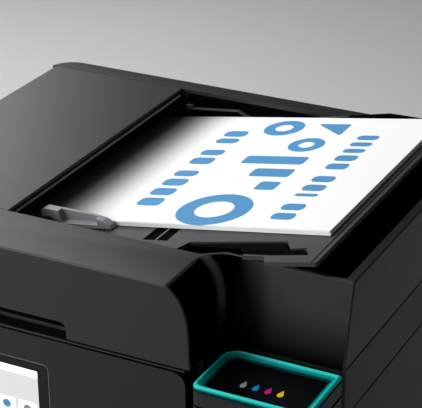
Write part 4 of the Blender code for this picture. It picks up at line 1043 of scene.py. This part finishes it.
def build_rear_details():
    """Louvres, screws and port surrounds on the back."""
    face = limits("rear_panel")[1].y
    louvres = []
    for side in (-1, 1):
        for row in range(8):
            z = 104.0 + 7.0 * row
            if side < 0:
                z += 62.0
            if z > 216:
                continue
            x = (side * 146.0 - 20.0, side * 146.0 + 20.0)
            profile = [(face - 0.1, z), (face - 0.1, z + 4.2), (face + 0.5, z + 4.2), (face + 1.5, z + 0.6), (face + 1.3, z)]
            louvres.append(prism("louvre", profile, x, "X", "shell_black"))
    place(merge("rear_louvres", louvres), "main", "shell_black", (), 0.25)
    screws = [screw("screw", (x, z), face, "Y", 1) for x, z in ((-177, 16), (177, 16), (-177, 228), (177, 228), (0, 86), (0, 214))]
    place(merge("rear_screws", screws), "main", "steel", (), 0.0)
    surrounds = []
    for x, z in (((133, 169), (21, 51)), ((-152, -134), (182, 200)), ((-174, -153), (182, 201))):
        ring = prism("surround", fillet(box_corners(x, z, 2.0), 5), (face - 0.1, face + 0.7), "Y", "inner_black")
        hole = prism("hole", fillet(box_corners((x[0] + 2.6, x[1] - 2.6), (z[0] + 2.6, z[1] - 2.6), 1.0), 4),
                     (face - 3, face + 3), "Y", "inner_black")
        surrounds.append(cut(ring, hole))
    place(merge("port_surrounds", surrounds), "main", "inner_black", (), 0.2)

    low, high = limits("rear_cover")
    ribs = []
    for index in range(9):
        x = low.x + 18 + (high.x - low.x - 36) / 8 * index
        ribs.append(prism("rib", fillet(box_corners((x - 1.3, x + 1.3), (low.z + 16, high.z - 34), 1.2), 5),
                          (high.y - 0.35, high.y - 0.15), "Y", "shell_black"))
    place(merge("rear_cover_ribs", ribs), "rear_cover", "shell_black", (), 0.0)
    pulls = []
    for side in (-1, 1):
        x = (side * 60.0 - 16.0, side * 60.0 + 16.0)
        profile = [(high.y - 0.3, high.z - 24), (high.y - 0.3, high.z - 14), (high.y - 0.02, high.z - 15), (high.y - 0.02, high.z - 23)]
        pulls.append(prism("pull", profile, x, "X", "inner_black"))
    place(merge("rear_cover_pulls", pulls), "rear_cover", "inner_black", (), 0.0)


def build_underside():
    """Ribs, screws and a blank rating plate under the base, and rings on the feet."""
    low, high = limits("base_pan")
    ribs = []
    for index in range(9):
        x = low.x + 30 + (high.x - low.x - 60) / 8 * index
        ribs.append(slab("rib", (x - 1.0, x + 1.0), (62, 262), (low.z - 1.2, low.z + 0.2), "inner_black", 0.8))
    place(merge("base_ribs", ribs), "main", "inner_black", (), 0.2)
    plate = slab("rating_plate", (-34, 34), (274, 300), (low.z - 0.35, low.z + 0.1), "label_grey", 2.5, 8)
    place(plate, "main", "tray_grey", (), 0.1)
    screws = [screw("screw", (x, FRONT + depth), low.z, "Z", -1) for x in (-120, 120) for depth in (34, 288)]
    place(merge("base_screws", screws), "main", "steel", (), 0.0)
    for end in ("front", "rear"):
        for side in ("left", "right"):
            node = f"foot_{end}_{side}"
            low, high = limits(node)
            centre = ((low.x + high.x) / 2, (low.y + high.y) / 2)
            profile = [(low.z, 2.5), (low.z, 7.0), (low.z + 0.5, 8.0), (high.z - 0.6, 9.3), (high.z, 9.4)]
            foot = turned(node + "_pad", [(low.z + 0.7, 2.0)] + profile, centre, "Z", "rubber", 40)
            place(foot, "main", "rubber", [node], 0.0)


def build_front_details():
    """Ribs on the output tray, lines on the cassette front, and a strip that closes the gap beside the panel."""
    strip = slab("panel_gap_strip", (99.3, TANK_LEFT - 0.3), (26, 27.5), (188, 268), "inner_black", 0.3)
    place(strip, "main", "inner_black", (), 0.0)
    bead = slab("panel_gap_bead", (-HALF + 3.0, 95.0), (1.6, 3.0), (269.2, 269.9), "tray_grey", 0.3)
    place(bead, "document_cover", "tray_grey", (), 0.0)
    seams = (("scanner_seam", "scanner", COVER_BOTTOM - 0.3), ("body_seam", "main", limits("side_cover_right")[1].z))
    for name, body, level in seams:
        bands = [slab("band", sorted((side * (HALF - 1.0), side * (HALF + 0.06))), (46, COVER_REAR - 24),
                      (level - 0.8, level + 0.6), "inner_black") for side in (-1, 1)]
        place(merge(name, bands), body, "inner_black", (), 0.0)
    low, high = limits("output_tray")
    ribs = []
    for index in range(9):
        x = low.x + 16 + (high.x - low.x - 32) / 8 * index
        ribs.append(slab("rib", (x - 0.9, x + 0.9), (34, 182), (high.z - 0.1, high.z + 0.9), "shell_black", 0.8))
    place(merge("output_tray_ribs", ribs), "output_tray", "shell_black", (), 0.2)
    low, high = limits("cassette_front_panel")
    lines = []
    for z in (high.z - 12.0, low.z + 30.0):
        corners = box_points((low.x + 8, high.x - 8), (z, z + 1.0), 0.4)
        lines.append(prism("line", corners, (low.y - 0.25, low.y + 0.25), "Y", "shell_black"))
    place(merge("cassette_front_lines", lines), "cassette", "shell_black", (), 0.0)


def build_scanner_details():
    """Black mask under the glass, and a lamp on the sensor bar."""
    low, high = limits("scanner_glass")
    mask = slab("scan_mask", (low.x + 0.4, high.x - 0.4), (low.y - FRONT + 0.4, high.y - FRONT - 0.4), (low.z - 0.2, low.z - 0.05),
                "inner_black", 1.0)
    cut(mask, slab("hole", (low.x + 12, high.x - 12), (low.y - FRONT + 10, high.y - FRONT - 10), (200, 300), "inner_black"))
    place(mask, "scanner", "inner_black", (), 0.0)
    low, high = limits("scan_carriage")
    x = ((low.x + high.x) / 2 - 4, (low.x + high.x) / 2 + 4)
    lamp = slab("scan_lamp", x, (low.y - FRONT + 6, high.y - FRONT - 6), (high.z - 0.5, high.z + 0.6), "screen_white", 1.5, 6)
    place(lamp, "scan_carriage", "white_pad", (), 0.3)


# ---------------------------------------------------------------- CAD nodes that stay

KEPT = {
    "shell_black": (("side_cover_left", 0.8), ("side_cover_right", 0.8), ("rear_panel", 0.6), ("rear_cover", 0.8),
                    ("front_frame", 0.8), ("paper_cassette", 0.6), ("cassette_front_panel", 1.2), ("output_tray", 0.6),
                    ("output_tray_extension", 0.5), ("output_stopper", 0.4), ("control_panel", 1.2),
                    ("ink_tank_housing", 0.9), ("scanner_base", 0.9)),
    "cover_grey": (("maintenance_box", 0.6),),
    "inner_black": (("base_pan", 0.8), ("mains_inlet", 0.4), ("platen", 0.4), ("print_carriage", 0.8),
                    ("scan_carriage", 0.8), ("carriage_motor", 0.5)),
    "guide_grey": (("cassette_guide_left", 0.5), ("cassette_guide_right", 0.5)),
    "steel": (("usb_port", 0.2), ("network_port", 0.2), ("chassis_frame", 0.3)),
    "chrome": (("carriage_rail", 0.4), ("scan_rod", 0.0), ("lid_hinge_shaft", 0.0)),
    "rubber": (("carriage_belt", 0.2), ("feed_roller", 0.3), ("exit_roller", 0.3)),
    "white_nylon": (("idler_gear", 0.2),),
    "glass": (("scanner_glass", 0.2), ("ink_level_window", 0.2)),
    "black_ink": (("ink_tank_black", 0.6),),
    "cyan_ink": (("ink_tank_cyan", 0.6),),
    "magenta_ink": (("ink_tank_magenta", 0.6),),
    "yellow_ink": (("ink_tank_yellow", 0.6),),
}


def finish_kept_nodes():
    for look, rows in KEPT.items():
        for node, width in rows:
            refine(node, look, width)


# ---------------------------------------------------------------- stage

def add_area(name, spot, target, size, power, colour=(1.0, 1.0, 1.0)):
    light = bpy.data.lights.new(name, "AREA")
    light.shape = "RECTANGLE"
    light.size, light.size_y = size
    light.energy = power
    light.color = colour
    item = bpy.data.objects.new(name, light)
    item.location = spot
    item.rotation_euler = (Vector(target) - Vector(spot)).to_track_quat("-Z", "Y").to_euler()
    bpy.context.scene.collection.objects.link(item)


def build_stage():
    bm = bmesh.new()
    reach = 6.0
    bmesh.ops.create_grid(bm, x_segments=8, y_segments=8, size=reach / MM)
    floor_nodes = Nodes("floor_look")
    tone = floor_nodes.mix(floor_nodes.noise(3.0), (0.52, 0.53, 0.53), (0.55, 0.56, 0.56))
    floor_nodes.link(tone, floor_nodes.shader.inputs["Base Color"])
    floor_nodes.set(Roughness=0.85, Specular_IOR_Level=0.2)
    LOOKS["floor"] = floor_nodes.made
    floor = add_mesh("floor", bm, "floor")
    floor.location.z = -0.0005

    world = bpy.data.worlds.new("studio")
    world.use_nodes = True
    background = world.node_tree.nodes["Background"]
    background.inputs["Color"].default_value = (0.97, 0.98, 1.0, 1.0)
    background.inputs["Strength"].default_value = 0.10
    bpy.context.scene.world = world
    bpy.context.scene.view_settings.view_transform = "Standard"

    centre = (0.0, 0.0, 0.25)
    add_area("key", (-0.9, -0.5, 1.9), centre, (1.4, 1.4), 16.5)
    add_area("sheen", (-1.0, 0.5, 1.1), centre, (1.2, 1.2), 15.0)
    add_area("front", (-1.7, -2.1, 1.0), centre, (1.2, 1.2), 68.0)


def build_camera():
    camera = bpy.data.cameras.new("camera")
    camera.lens = CAMERA_LENS
    camera.sensor_width = 36.0
    camera.clip_start = 0.05
    camera.clip_end = 50.0
    item = bpy.data.objects.new("camera", camera)
    turn = Matrix(CAMERA_AXES).to_4x4()
    item.matrix_world = Matrix.Translation(CAMERA_PLACE) @ turn
    bpy.context.scene.collection.objects.link(item)
    bpy.context.scene.camera = item


build_camera()
build_document_cover()
build_document_mat()
build_feeder_cover()
build_feeder_rollers()
build_feeder_tray()
build_stopper()
build_guide("front", SHEET_FRONT - GUIDE_GAP, -1)
build_rear_guide(SHEET_FRONT + SHEET_WIDTH + GUIDE_GAP)
build_sheets()
build_ink_lid()
build_ink_details()
build_screen()
build_power_button()
build_rear_details()
build_underside()
build_front_details()
build_scanner_details()
finish_kept_nodes()
build_stage()
